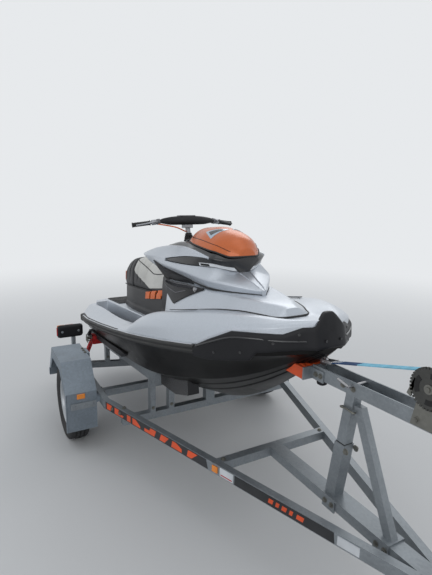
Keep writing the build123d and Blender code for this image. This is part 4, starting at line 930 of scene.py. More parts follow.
def build_cowl():
    """One silver moulding with a slot between its lower body and the upper wings."""
    cowl = Parts()
    block = []
    joined = [(low[0], low[1], ROOF_Z, *low[2:], *wing[1:]) for low, wing in zip(COWL[:3], WING)]
    for values in WING_END + joined:
        block.append((values[0], list(zip(values[1::2], values[2::2], CORNER_R))))
    wings = [(w[0], [(w[1], w[2], 0.008), (w[3], w[4], 0.024), (w[5], w[6], 0.008),
                     (w[5] + 0.006, w[6] - 0.012, 0.004)]) for w in WING]
    tail = stations([1.205, 1.32, DASH_S, NECK_S, SLOT_S], 0.02)
    front = stations([SLOT_S, 1.78, ROOF_S, 2.14], 0.02)
    for k in (1, -1):
        cowl.add(*loft(sections_of(block, 0.02, 5, True, craft, k, tail), True))
        cowl.add(*loft(sections_of(wings, 0.02, 5, True, craft, k, front), True))
    lower = []
    for s, foot_y, low_y, low_z, wide_y, wide_z, lip_y, lip_z in COWL:
        lower.append((s, [
            (foot_y, roof(s) - 0.004, 0), (low_y, low_z, 0.012), (wide_y, wide_z, 0.014), (lip_y, lip_z, 0.008),
            (lip_y * 0.94, lip_z - 0.004, 0.003), (0, lip_z - 0.004, 0),
        ]))
    body = stations([SLOT_S, 1.78, ROOF_S, 2.14, 2.22, 2.425], 0.015)
    cowl.add(*loft(sections_of(lower, 0.02, 5, only=body)))
    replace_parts(cowl.done("cowl_shell", "silver", "cowl_silver", sharp=42), "cowl")
    for k, side in SIDES:
        seam = [craft(s, k * (smooth_at(COWL, 2, s) - 0.004), smooth_at(COWL, 3, s) - 0.006)
                for s in stations([1.50, 1.95, 2.2, 2.42], 0.04)]
        tube("cowl_seam_" + side, seam, 0.006, "rubber", "black_trim", sides=10)
        crease = [craft(s, k * (smooth_at(COWL, 6, s) + 0.004), smooth_at(COWL, 7, s) - 0.001)
                  for s in stations([2.235, 2.30, 2.40], 0.03)]
        tube("hood_crease_" + side, crease, 0.0028, "silver", "cowl_silver", sides=8)


# Black surround between the wings
SURROUND = [
    # s, lip_y, lip_z, low_y, low_z, in_y, in_z, top_y, top_z
    (DASH_S, 0.160, 0.930, 0.165, 0.950, 0.166, 0.987, 0.140, 1.024),
    (NECK_S, 0.268, 0.926, 0.266, 0.938, 0.158, 1.004, 0.150, 1.046),
    (1.78, 0.258, 0.917, 0.260, 0.950, 0.163, 1.010, 0.160, 1.044),
    (ROOF_S, 0.238, 0.909, 0.236, 0.960, 0.188, 1.000, 0.182, 1.020),
    (2.14, 0.164, 0.900, 0.199, 0.955, 0.190, 0.962, 0.160, 0.985),
    (2.212, 0.052, 0.872, 0.116, 0.934, 0.110, 0.948, 0.092, 0.956),
    (2.22, 0.034, 0.870, 0.096, 0.936, 0.090, 0.948, 0.076, 0.954),
]


def surround_top(s):
    """Height of the surround's top."""
    return straight_at(SURROUND, 8, s)


def build_surround():
    """Glossy band in the slot, with the lens strips, vents, display and column boot."""
    rows = []
    for s, lip_y, lip_z, low_y, low_z, in_y, in_z, top_y, top_z in SURROUND:
        rows.append((s, [
            (lip_y - 0.02, lip_z - 0.01, 0), (lip_y, lip_z, 0.004), (low_y, low_z, 0.006), (in_y, in_z, 0.008),
            (top_y, top_z, 0.020), (0, top_z + 0.001, 0),
        ]))
    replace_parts(skin("surround_shell", rows, "plastic_gloss", "black_trim", step=0.02), "surround")
    for k, side in SIDES:
        def brow(s, share):
            """Point on the band's front, from its lip upwards."""
            lip_y, lip_z, low_y, low_z = (smooth_at(SURROUND, i, s) for i in (1, 2, 3, 4))
            return craft(s, k * (lip_y + (low_y - lip_y) * share), lip_z + (low_z - lip_z) * share)

        patch("lens_strip_" + side, brow, stations([2.050, 2.14, 2.216], 0.010)[::-k], spread(0.06, 0.40, 5), 0.0035,
              "lens_clear", "cowl_silver")
        # The vents are painted shade: near-black patches where the openings are dark inside.
        patch("vent_" + side, brow, stations([2.062, 2.122], 0.010)[::-k], spread(0.12, 0.34, 5), 0.0055, "bore",
              "black_trim")
    for name, (low, wide, high), (s0, s1), (z0, z1), mat, bevel in (
        ("display", (0.062, 0.075, 0.055), (1.545, 1.655), (1.030, 1.056), "plastic", 0.005),
        ("display_glass", (0.050, 0.058, 0.044), (1.56, 1.642), (1.0555, 1.058), "plastic_gloss", 0.0008),
    ):
        panel = Parts()
        outline = [(-low, s0), (low, s0), (wide, 1.60), (high, s1), (-high, s1), (-wide, 1.60)]
        panel.prism(outline, z0, z1, craft_flat)
        panel.done(name, mat, "black_trim", bevel=bevel)
    boot = Parts()
    profile = [(0.0, 0.020)]
    for i in range(6):
        h = 0.004 + i * 0.011
        profile += [(h, 0.046 - i * 0.003), (h + 0.006, 0.039 - i * 0.003)]
    profile += [(0.075, 0.026), (0.075, 0.020)]
    boot.lathe(profile, column_point(-0.005), COLUMN_AXIS, 40)
    boot.done("column_boot", "rubber", "rubber_black", sharp=60)


# Steering column
STEER_S = 1.474
STEER_Z = 1.030
RAKE = math.radians(12)
COLUMN_L = 0.136
HUB_S = STEER_S - COLUMN_L * math.sin(RAKE)
HUB_Z = STEER_Z + COLUMN_L * math.cos(RAKE)
COLUMN_AXIS = (-math.sin(RAKE + PITCH), 0, math.cos(RAKE + PITCH))


def column_point(t):
    """Point at a distance up the steering axis."""
    return craft(STEER_S - t * math.sin(RAKE), 0, STEER_Z + t * math.cos(RAKE))


PAD = [
    # y, back, front, crown, lift
    (-0.216, 0.018, 0.018, 0.040, 0.016),
    (-0.190, 0.026, 0.025, 0.050, 0.010),
    (-0.112, 0.046, 0.042, 0.062, 0.0),
    (0, 0.054, 0.048, 0.068, 0.0),
    (0.112, 0.046, 0.042, 0.062, 0.0),
    (0.190, 0.026, 0.025, 0.050, 0.010),
    (0.216, 0.018, 0.018, 0.040, 0.016),
]


def build_handlebar():
    """Column, clamp, sculpted pad, bars, ribbed grips, levers, switch blocks and cable."""
    stem = Parts()
    stem.rod(column_point(0.015), column_point(COLUMN_L), 0.018, 28)
    stem.box((HUB_S - 0.032, -0.032, HUB_Z - 0.024), (HUB_S + 0.032, 0.032, HUB_Z + 0.002), craft)
    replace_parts(stem.done("steering_stem", "alloy", "black_trim", "handlebar", bevel=0.004), "handlebar")
    rows = []
    for y, back, front, crown, lift in PAD:
        side = lift + 0.4 * (crown - lift)
        rows.append((y, [
            (-0.8 * back, lift, 0.010), (0.8 * front, lift, 0.010), (front, side, 0.014), (0.4 * front, crown, 0.016),
            (-0.6 * back, 0.92 * crown, 0.016), (-back, side, 0.014),
        ]))

    def hub_flat(y, a, z):
        """Point given across, along and up from the hub."""
        return craft(HUB_S + a, y, HUB_Z + z)

    skin("handlebar_pad", rows, "plastic", "black_trim", "handlebar", 0.016, 5, True, hub_flat)
    inset = Parts()
    inset.prism([(-0.075, -0.020), (0.075, -0.020), (0.060, 0.020), (-0.060, 0.020)], 0.062, 0.0685, hub_flat)
    inset.done("pad_inset", "plastic_grey", "black_trim", "handlebar", bevel=0.003)
    root = Vector((HUB_S, 0.19, HUB_Z + 0.028))
    tip = Vector((HUB_S - 0.058, 0.405, HUB_Z + 0.004))

    def bar(share, k, lift=0.0, ahead=0.0):
        """Point along a handlebar half."""
        p = root.lerp(tip, share)
        return craft(p.x + ahead, k * p.y, p.z + lift)

    for k, side in SIDES:
        tube("bar_" + side, [bar(0.0, k), bar(0.5, k), bar(0.99, k)], 0.011, "plastic_gloss", "black_trim",
             "handlebar")
        shares = spread(0.42, 1.0, 48)
        radii = [0.0165 - 0.0015 * (i % 2) for i in range(len(shares))]
        radii[0] = radii[1] = 0.020
        radii[-1] = 0.015
        radii[-2] = radii[-3] = 0.019
        grip = tube("grip_" + side, [bar(t, k) for t in shares], radii, "rubber", "rubber_black", "handlebar", 24)
        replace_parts(grip, "grips")
        clamp = Parts()
        clamp.rod(bar(0.22, k), bar(0.38, k), 0.019, 24)
        clamp.rod(bar(0.28, k), bar(0.28, k, 0.004, 0.040), 0.009, 16)
        clamp.done("lever_clamp_" + side, "alloy", "black_trim", "handlebar", bevel=0.002)
        lever = curve_points([bar(0.28, k, 0.004, 0.036), bar(0.42, k, 0.002, 0.050), bar(0.70, k, -0.002, 0.052),
                              bar(0.93, k, -0.004, 0.044)], 6)
        thick = [0.0065 - 0.002 * i / len(lever) for i in range(len(lever))]
        tube("lever_" + side, lever, thick, "alloy" if k < 0 else "plastic_gloss", "black_trim", "handlebar")
        block = Parts()
        block.rod(bar(0.10, k), bar(0.21, k), 0.021, 20)
        block.rod(bar(0.155, k, 0.006, -0.012), bar(0.155, k, 0.014, -0.028), 0.007, 16)
        block.done("switch_block_" + side, "plastic_grey", "black_trim", "handlebar", bevel=0.002)
    cable = curve_points([bar(0.18, -1, -0.016, 0.010), hub_flat(-0.120, 0.050, -0.016),
                          hub_flat(-0.050, 0.055, -0.045), Vector(column_point(0.085)) + Vector((0, -0.015, 0))])
    tube("throttle_cable", cable, 0.0045, "vinyl_orange", "cover_orange", "handlebar", 12)


# Storage lid
LID = [
    # s, half_width, top_z
    (1.709, 0.095, 1.090),
    (1.80, 0.152, 1.138),
    (1.95, 0.180, 1.140),
    (2.10, 0.170, 1.112),
    (2.20, 0.116, 1.072),
    (2.262, 0.052, 1.002),
]


def lid_point(s, t, out=0.0):
    """Point on the domed lid; t runs across from -1 to 1."""
    base = surround_top(min(s, SURROUND[-1][0])) + 0.006
    half, top = smooth_at(LID, 1, s), smooth_at(LID, 2, s)
    rise = top - base
    r = (half * half + rise * rise) / (2 * rise)
    centre = top - r
    a = t * math.atan2(half, base - centre)
    return craft(s, (r + out) * math.sin(a), centre + (r + out) * math.cos(a))


# Corners of the lid's plain shape: station and share of the way down the side
MOTIF = ((1.95, 0.52), (2.075, 0.04), (2.06, 0.68))
HINGE_S = 1.690
HINGE_Z = 1.066


def build_lid():
    """Orange dome on its hinge, with a rubber foot and a plain pale shape near the top."""
    xs = stations([1.709, 1.73, 1.80, 1.95, 2.10, 2.20, 2.262], 0.012)
    sections = [[lid_point(s, t) for t in spread(-1, 1, 40)] for s in xs]
    verts, faces = loft(sections, True)
    shell = make("lid_shell", verts, faces, "orange", "cover_orange", "storage_lid", 50)
    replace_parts(shell, "storage_lid")
    foot = [lid_point(s, 1.0, 0.001) for s in xs] + [lid_point(s, -1.0, 0.001) for s in reversed(xs)]
    tube("lid_seal", foot + foot[:1], 0.005, "rubber", "cover_orange", "storage_lid", 10, False)
    for k, side in SIDES:
        def motif(u, v):
            """Long triangle on the crown, pointing down and forwards."""
            s, across = (a + (b - a) * u + (c - a) * v * (1 - u) for a, b, c in zip(*MOTIF))
            return lid_point(s, k * across)

        def inner(u, v):
            """Smaller triangle inside it."""
            return motif(0.10 + 0.62 * u, 0.22 + 0.50 * v)

        patch("lid_shape_" + side, motif, spread(0.0, 0.985, 24), spread(0.0, 1.0, 12)[::k], 0.0014, "motif",
              "cover_orange", "storage_lid")
        patch("lid_mark_" + side, inner, spread(0.0, 0.985, 16), spread(0.0, 1.0, 8)[::k], 0.0024, "plastic_gloss",
              "cover_orange", "storage_lid")
    for k, side in SIDES:
        line = [lid_point(s, k * 0.80, 0.0006) for s in stations([1.74, 2.0, 2.22], 0.03)]
        tube("lid_line_" + side, line, 0.0018, "plastic", "cover_orange", "storage_lid", 8)
    hinge = Parts()
    hinge.rod(craft(HINGE_S, -0.028, HINGE_Z), craft(HINGE_S, 0.028, HINGE_Z), 0.010, 24)
    hinge.box((HINGE_S, -0.028, 1.062), (1.727, 0.028, 1.074), craft)
    hinge.done("lid_knuckle", "plastic", "black_trim", "storage_lid", bevel=0.001)
    lugs = Parts()
    for y in (-0.041, 0.031):
        outline = [(1.674, 1.040), (1.702, 1.040), (1.700, 1.078), (1.680, 1.078)]
        lugs.prism(outline, y, y + 0.010, craft_upright)
    lugs.rod(craft(HINGE_S, -0.043, HINGE_Z), craft(HINGE_S, 0.043, HINGE_Z), 0.005, 16)
    lugs.done("lid_lugs", "plastic", "black_trim", bevel=0.0015)


# Seat
SEAT = [
    # s, low_y, mid_y, mid_z, top_y, top_z
    (0.43, 0.165, 0.160, 0.720, 0.095, 0.800),
    (0.51, 0.188, 0.180, 0.775, 0.128, 0.862),
    (0.70, 0.200, 0.188, 0.800, 0.140, 0.892),
    (0.90, 0.200, 0.186, 0.798, 0.138, 0.890),
    (1.04, 0.198, 0.180, 0.762, 0.134, 0.856),
    (1.18, 0.196, 0.176, 0.742, 0.128, 0.824),
    (1.36, 0.190, 0.168, 0.765, 0.118, 0.842),
    (1.42, 0.186, 0.162, 0.770, 0.112, 0.848),
]
SEAT_BASE = [
    # s, low_y, top_y
    (0.47, 0.190, 0.172),
    (0.8, 0.226, 0.208),
    (1.42, 0.232, 0.200),
]
SEAT_Z = 0.650
SEAT_END = 1.418
SEAT_SPLIT = 0.735
REAR_RIBS = (0.535, 0.640)
FRONT_RIBS = (0.840, 0.925, 1.010)


def seat_line(s, a, b, ribs):
    """Crowned half section with welted ends and sewn grooves across it, from the foot to the crown."""
    dip = sum(math.exp(-((s - rib) / 0.009) ** 2) for rib in ribs)
    puff = 0.5 - 0.5 * math.cos(2 * math.pi * (s - a) / (b - a) * (len(ribs) + 1))
    end = math.exp(-((s - a) / 0.012) ** 2) + math.exp(-((s - b) / 0.012) ** 2)
    f = 1 - 0.036 * dip - 0.045 * end + 0.006 * puff
    low_y, mid_y, mid_z, top_y, top_z = (smooth_at(SEAT, i, s) for i in range(1, 6))
    half = [
        (low_y * (1 - 0.05 * end) - 0.006, SEAT_Z + 0.001, 0.004),
        (low_y * (1 - 0.05 * end), SEAT_Z + 0.03, 0.02),
        (mid_y * f, SEAT_Z + (mid_z - SEAT_Z) * f, 0.03),
        (top_y * f, SEAT_Z + (top_z - SEAT_Z) * f, 0.045),
        (0, SEAT_Z + (top_z + 0.010 - SEAT_Z) * f, 0),
    ]
    return rounded(half, 7)


def seat_section(s, a, b, ribs):
    """Whole cushion section."""
    line = seat_line(s, a, b, ribs)
    line = line + [(-y, z) for y, z in reversed(line[:-1])]
    return [craft(s, y, z) for y, z in line]


def seat_cover(s, share):
    """Point on the front cushion, share 0 on the crown and 1 or -1 at the pale cover's lower edge."""
    line = seat_line(s, SEAT_SPLIT + 0.003, SEAT_END, FRONT_RIBS)[::-1]
    low = straight([0.74, 0.80, 1.13, SEAT_END], [0.805, 0.770, 0.672, 0.700], s)
    runs = [0.0]
    for (y0, z0), (y1, z1) in zip(line, line[1:]):
        runs.append(runs[-1] + math.hypot(y1 - y0, z1 - z0))
    edge = runs[-1]
    for i in range(1, len(line)):
        if line[i][1] < low:
            edge = runs[i - 1] + (runs[i] - runs[i - 1]) * (line[i - 1][1] - low) / (line[i - 1][1] - line[i][1])
            break
    run = abs(share) * edge
    y, z = straight(runs, [p[0] for p in line], run), straight(runs, [p[1] for p in line], run)
    return craft(s, math.copysign(y, share), z)


def seat_side(s, z):
    """Half width of the seat's flank, cushion above and base below."""
    if z < SEAT_Z:
        low, top = straight_at(SEAT_BASE, 1, s), straight_at(SEAT_BASE, 2, s)
        return top + (low - top) * (SEAT_Z - z) / (SEAT_Z - SOLE_Z)
    low_y, mid_y, mid_z = (smooth_at(SEAT, i, s) for i in range(1, 4))
    return low_y + (mid_y - low_y) * (z - SEAT_Z) / (mid_z - SEAT_Z)


def seat_stations(a, b, ribs):
    """Stations along a cushion, close together at its sewn grooves."""
    return sorted(set(stations([a, b], 0.012)) | {r + d for r in ribs for d in (-0.012, -0.006, 0, 0.006, 0.012)})


def build_seat():
    """Rear bolster, front cushion with its pale cover, dark base, orange blocks and grab handle."""
    for name, a, b, ribs in (
        ("seat_rear", 0.432, SEAT_SPLIT, REAR_RIBS),
        ("seat_front", SEAT_SPLIT + 0.003, SEAT_END, FRONT_RIBS),
    ):
        verts, faces = loft([seat_section(s, a, b, ribs) for s in seat_stations(a, b, ribs)])
        cushion = make(name, verts, faces, "vinyl_black", "seat_vinyl", ROOT, 60)
        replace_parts(cushion, "seat")
    fine = seat_stations(SEAT_SPLIT + 0.012, 1.410, FRONT_RIBS)
    cover = patch("seat_cover", seat_cover, fine, spread(-1.0, 1.0, 44), 0.004, "vinyl", "seat_vinyl", sharp=60)
    rows = []
    for s, low_y, top_y in SEAT_BASE:
        rows.append((s, [
            (low_y, SOLE_Z, 0), (low_y - 0.002, SOLE_Z + 0.03, 0.008), (low_y - 0.010, SOLE_Z + 0.05, 0.006),
            (top_y + 0.002, SEAT_Z - 0.02, 0.01), (top_y - 0.006, SEAT_Z, 0.004), (0, SEAT_Z, 0),
        ]))
    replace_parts(skin("seat_plinth", rows, "vinyl_black", "black_trim", step=0.04), "seat_base")
    for k, side in SIDES:
        def flank(s0, z0, tall, rise=0.0, out=0.0):
            """Band on the seat's flank that starts at (s0, z0) and rises along the seat."""
            def at(s, share):
                """Point of the band."""
                z = z0 + (s - s0) * rise + tall * share
                return craft(s, k * (seat_side(s, z) + out), z)
            return at

        seam = [seat_cover(s, k * 0.60) for s in stations([SEAT_SPLIT + 0.02, 1.405], 0.02)]
        tube("seat_seam_" + side, [Vector(p) + Vector((0, k * 0.002, 0.002)) for p in seam], 0.0045, "vinyl_black",
             "seat_vinyl", sides=8)
        for i, (s0, z0, tall) in enumerate(((1.075, 0.585, 0.055), (1.185, 0.596, 0.058), (1.300, 0.610, 0.062))):
            patch("orange_block_%d_%s" % (i, side), flank(s0, z0, tall, 0.12, 0.001),
                  spread(s0, s0 + 0.085, 6)[::-k], spread(0, 1, 4), 0.006, "vinyl_orange", "seat_vinyl")
        patch("tail_flash_" + side, flank(0.450, 0.690, 0.075), spread(0.450, 0.485, 3)[::-k], spread(0, 1, 4),
              0.006, "vinyl_orange", "seat_vinyl")
        piping = [craft(s, k * (seat_side(s, SEAT_Z + 0.004) + 0.003), SEAT_Z + 0.002)
                  for s in stations([0.45, 1.415], 0.04)]
        tube("seat_piping_" + side, piping, 0.004, "rubber", "black_trim", sides=8)
    handle = curve_points([craft(0.455, -0.10, 0.69), craft(0.425, -0.085, 0.70), craft(0.418, 0, 0.705),
                           craft(0.425, 0.085, 0.70), craft(0.455, 0.10, 0.69)])
    tube("grab_handle", handle, 0.011, "plastic", "black_trim")


def build_mats():
    """Ribs and a raised edge on the footwell mats."""
    paint("footwell_mats", "mat", 0.002)
    ribs = Parts()
    for k in (1, -1):
        for s in spread(0.16, 1.54, 46):
            out = straight([0.12, 1.0, 1.43, 1.60], [0.372, 0.420, 0.432, 0.372], s) - 0.022
            y0, y1 = sorted((k * 0.283, k * out))
            ribs.box((s - 0.006, y0, WELL_Z + 0.007), (s + 0.006, y1, WELL_Z + 0.0115), craft)
    ribs.done("mat_ribs", "mat", "mat_grey", bevel=0.001)


def build_drive():
    """Jet pump, nozzle and bucket in cast alloy, with flange, vanes and bolts; sponsons and eyes."""
    for node_name, mat, bevel in (
        ("jet_pump", "alloy", 0.003), ("nozzle", "alloy", 0.002), ("reverse_bucket", "alloy", 0.002),
        ("sponsons", "plastic", 0.006), ("bow_eye", "steel", 0.002), ("stern_eyes", "steel", 0.002),
        ("engine", "alloy", 0.01),
    ):
        paint(node_name, mat, bevel)
    axis = (-CP, 0, -SP)
    flange = Parts()
    flange.lathe([(-0.004, 0.052), (0.006, 0.052), (0.006, 0.079), (-0.004, 0.080)], craft(0.064, 0, PUMP_Z), axis)
    for i in range(6):
        a = math.radians(30 + 60 * i)
        flange.bolt(craft(0.059, 0.068 * math.cos(a), PUMP_Z + 0.068 * math.sin(a)), axis, 0.006, 0.005)
    for s in (0.16, 0.24, 0.32):
        flange.lathe([(-0.005, 0.070), (0.005, 0.070), (0.004, 0.0835), (-0.004, 0.0835)], craft(s, 0, PUMP_Z), axis)
    flange.done("pump_flange", "alloy", "pump_metal", bevel=0.001)
    # Painted shade: a near-black disc fills the pump's mouth, standing for the dark hollow inside.
    throat = Parts()
    throat.rod(craft(0.06, 0, PUMP_Z), craft(0.064, 0, PUMP_Z), 0.030, 32)
    throat.done("pump_throat", "bore", "pump_metal")
    ring = Parts()
    ring.lathe([(-0.003, 0.030), (0.009, 0.030), (0.009, 0.0395), (-0.003, 0.0405)], craft(-0.054, 0, PUMP_Z), axis)
    ring.done("nozzle_ring", "alloy", "pump_metal", "nozzle", bevel=0.0008)


# Trailer
RAIL_TOP = 0.430
RAIL_LOW = 0.370
RAIL_HALF = 0.715
RAIL_MID = 0.400
BEND_X = BEAM_X - 1.0
MEET_X = BEAM_X + 1.080
BAR_END = BEAM_X + 1.260
WHEEL_X = BEAM_X - 1.405
TYRE_R = 0.281
TYRE_HALF = 0.0725
TRACK = RAIL_HALF + 0.0525 + TYRE_HALF
RIM_R = 0.165
REAR_X = BEAM_X - 1.935
MID_X = BEAM_X - 0.845
ARM_X0 = BEAM_X + 0.300
ARM_Z = 0.975
WINCH_X = BEAM_X + 0.919
WINCH_Z = 1.167
PINION_X = WINCH_X + 0.053
PINION_Z = WINCH_Z + 0.086
CRANK_L = 0.190
CLAMP_Y = 0.640
LAMP_X = BEAM_X - 2.010
JOCKEY_X = BEAM_X + 1.064
JOCKEY_Y = 0.118


def rail_out(x):
    """Outer face of a rail."""
    if x < BEND_X:
        return RAIL_HALF
    return RAIL_HALF - (RAIL_HALF - 0.04) / (MEET_X - BEND_X) * (x - BEND_X)


def arm_low(x):
    """Underside of the winch arm."""
    return ARM_Z + 0.039 * (x - ARM_X0)


def on_rail(k):
    """Place for prisms drawn in X and Z on a rail's outer face, with depth outwards on side k."""
    return lambda x, z, depth: (x, k * (rail_out(x) + depth), z)


def sticker(name, outline, mat, k, height=0.0012):
    """Thin plain shape on a rail's outer face."""
    part = Parts()
    part.prism(outline, -0.001, height, on_rail(k))
    part.done(name, mat, "galvanised")


def rectangle(x0, x1, z0, z1):
    """Outline with level edges."""
    return [(x0, z0), (x1, z0), (x1, z1), (x0, z1)]


BAND = (0.374, 0.426)
LO, MID, HI = 0.3795, 0.4000, 0.4205
BAND_SHAPES = [
    [(-0.385, LO), (-0.345, LO), (-0.330, HI), (-0.385, HI)],
    [(-0.300, LO), (-0.215, LO), (-0.205, MID - 0.005), (-0.262, MID - 0.005), (-0.255, HI), (-0.300, HI)],
    rectangle(-0.170, -0.135, LO, HI),
    [(-0.115, LO), (-0.040, LO), (-0.040, LO + 0.012), (-0.085, HI), (-0.115, HI)],
    [(0.000, LO), (0.090, LO), (0.105, HI), (0.055, HI), (0.045, MID), (0.000, MID)],
    [(0.135, LO), (0.180, LO), (0.215, HI), (0.150, HI)],
    [(0.235, LO), (0.320, LO), (0.320, MID), (0.275, HI), (0.245, HI)],
    [(0.360, LO), (0.395, LO), (0.440, HI), (0.370, HI)],
]
FRONT_SHAPES = [(0.895, 0.925), (0.935, 0.958), (0.968, 0.998), (1.008, 1.030), (1.045, 1.085)]


def build_rails_trim():
    """Bands, plain shapes, reflectors and end plugs on the rails."""
    for node in ("rail_port", "rail_starboard", "front_beam", "drawbar", "mid_beam", "rear_beam", "axle"):
        paint(node, "galv", 0.005)
    for k, side in SIDES:
        zb, zt = BAND
        sticker("band_rear_" + side, [(-0.40, zb), (0.515, zb), (0.500, zt), (-0.40, zt)], "paint_black", k)
        for i, outline in enumerate(BAND_SHAPES):
            sticker("band_shape_%d_%s" % (i, side), outline, "paint_orange", k, 0.0020)
        sticker("band_front_" + side, [(0.693, zb), (1.228, zb), (1.222, zt), (0.693, zt)], "paint_black", k)
        for i, (x0, x1) in enumerate(FRONT_SHAPES):
            outline = [(x0, 0.388), (x1 - 0.006, 0.388), (x1, 0.412), (x0 + 0.005, 0.412)]
            sticker("front_shape_%d_%s" % (i, side), outline, "paint_orange", k, 0.0020)
        sticker("rail_plate_" + side, rectangle(0.598, 0.684, 0.376, 0.424), "label", k, 0.0018)
        sticker("plate_line_" + side, rectangle(0.604, 0.678, 0.382, 0.388), "paint_red", k, 0.0024)
        sticker("rail_label_" + side, rectangle(1.240, 1.335, 0.378, 0.422), "label", k, 0.0018)
        mark = Parts()
        mark.prism(rectangle(0.548, 0.584, 0.382, 0.418), 0.0, 0.007, on_rail(k))
        mark.done("rail_reflector_" + side, "lens_amber", "lamp_red", bevel=0.002)
        plug = Parts()
        x0 = BEAM_X - 2.230
        plug.side_box(k, (x0 - 0.005, RAIL_HALF - 0.0385, RAIL_LOW + 0.0015),
                      (x0 + 0.004, RAIL_HALF - 0.0015, RAIL_TOP - 0.0015))
        plug.done("rail_plug_" + side, "plastic", "black_trim", bevel=0.002)
    bolts = Parts()
    for k in (1, -1):
        for x in (WHEEL_X + 0.075, WHEEL_X + 0.145, MID_X + 0.025, REAR_X + 0.025, BEAM_X - 0.9):
            bolts.bolt((x, k * rail_out(x), RAIL_MID), (0, k, 0))
        for x in (MID_X + 0.025, REAR_X + 0.025):
            y = k * (rail_out(x + 0.010) - 0.026)
            bolts.bolt((x, y, RAIL_TOP), (0, 0, 1), 0.010, 0.008)
            bolts.bolt((x, y, RAIL_LOW - 0.05), (0, 0, -1), 0.010, 0.008)
        for x, z0 in ((MID_X, RAIL_LOW), (REAR_X, 0.36)):
            for y in (0.300, 0.434):
                bolts.bolt((x + 0.050, k * y, z0 + 0.030), (1, 0, 0), 0.008, 0.006)
                bolts.bolt((x, k * y, z0 + 0.030), (-1, 0, 0), 0.008, 0.006)
        bolts.bolt((BEAM_X - 0.025, k * (rail_out(BEAM_X) - 0.055), RAIL_TOP), (0, 0, 1))
    bolts.done("frame_bolts", "zinc", "galvanised")
    welds = Parts()
    for k in (1, -1):
        for z in (RAIL_LOW + 0.001, RAIL_TOP - 0.001):
            for x in spread(MEET_X - 0.11, MEET_X, 15):
                welds.rod((x - 0.003, k * 0.041, z), (x + 0.004, k * 0.041, z), 0.0042, 8, 0.003)
    welds.done("weld_beads", "weld", "galvanised")
    for k, side in SIDES:
        for i, x in enumerate((WHEEL_X + 0.110 - 0.040, WHEEL_X + 0.110 + 0.040)):
            stud = [(x, k * CLAMP_Y, RAIL_LOW + z) for z in (0.002, -0.052, -0.058)]
            tube("axle_stud_%d_%s" % (i, side), stud, 0.006, "zinc", "galvanised", sides=10)
    bars = Parts()
    for k in (1, -1):
        bars.side_box(k, (WHEEL_X + 0.055, CLAMP_Y - 0.012, RAIL_LOW - 0.056),
                      (WHEEL_X + 0.165, CLAMP_Y + 0.012, RAIL_LOW - 0.050))
    bars.done("axle_clamps", "galv", "galvanised", bevel=0.001)


def tyre_mesh(name, y_mid, body):
    """Road tyre: sidewall steps, three grooves round the tread and cross cuts in its blocks."""
    half = TYRE_HALF
    profile = [
        # along the axle, radius, depth of the cross cut there
        (-0.056, RIM_R - 0.002, 0), (-0.060, RIM_R + 0.008, 0), (-0.068, RIM_R + 0.026, 0),
        (-half, RIM_R + 0.050, 0), (-half, RIM_R + 0.054, 0), (-half + 0.002, RIM_R + 0.057, 0),
        (-half + 0.001, TYRE_R - 0.036, 0), (-half + 0.004, TYRE_R - 0.022, 0.003),
        (-half + 0.012, TYRE_R - 0.008, 0.005), (-0.050, TYRE_R - 0.003, 0.006), (-0.033, TYRE_R - 0.001, 0.006),
        (-0.031, TYRE_R - 0.008, 0), (-0.025, TYRE_R - 0.008, 0), (-0.023, TYRE_R, 0.004),
        (-0.004, TYRE_R, 0.004), (-0.002, TYRE_R - 0.008, 0),
    ]
    ring = profile + [(-h, r, cut) for h, r, cut in reversed(profile)]
    sides = 192
    verts = []
    for i in range(sides):
        a = 2 * math.pi * i / sides
        for j, (h, r, cut) in enumerate(ring):
            shift = 1 if j < len(profile) else 3
            if (i + shift) % 4 == 0:
                r -= cut
            verts.append((WHEEL_X + r * math.cos(a), y_mid + h, TYRE_R + r * math.sin(a)))
    return make(name, verts, grid_faces(sides, len(ring), turned=True), "tyre", "tyre", body, 28)


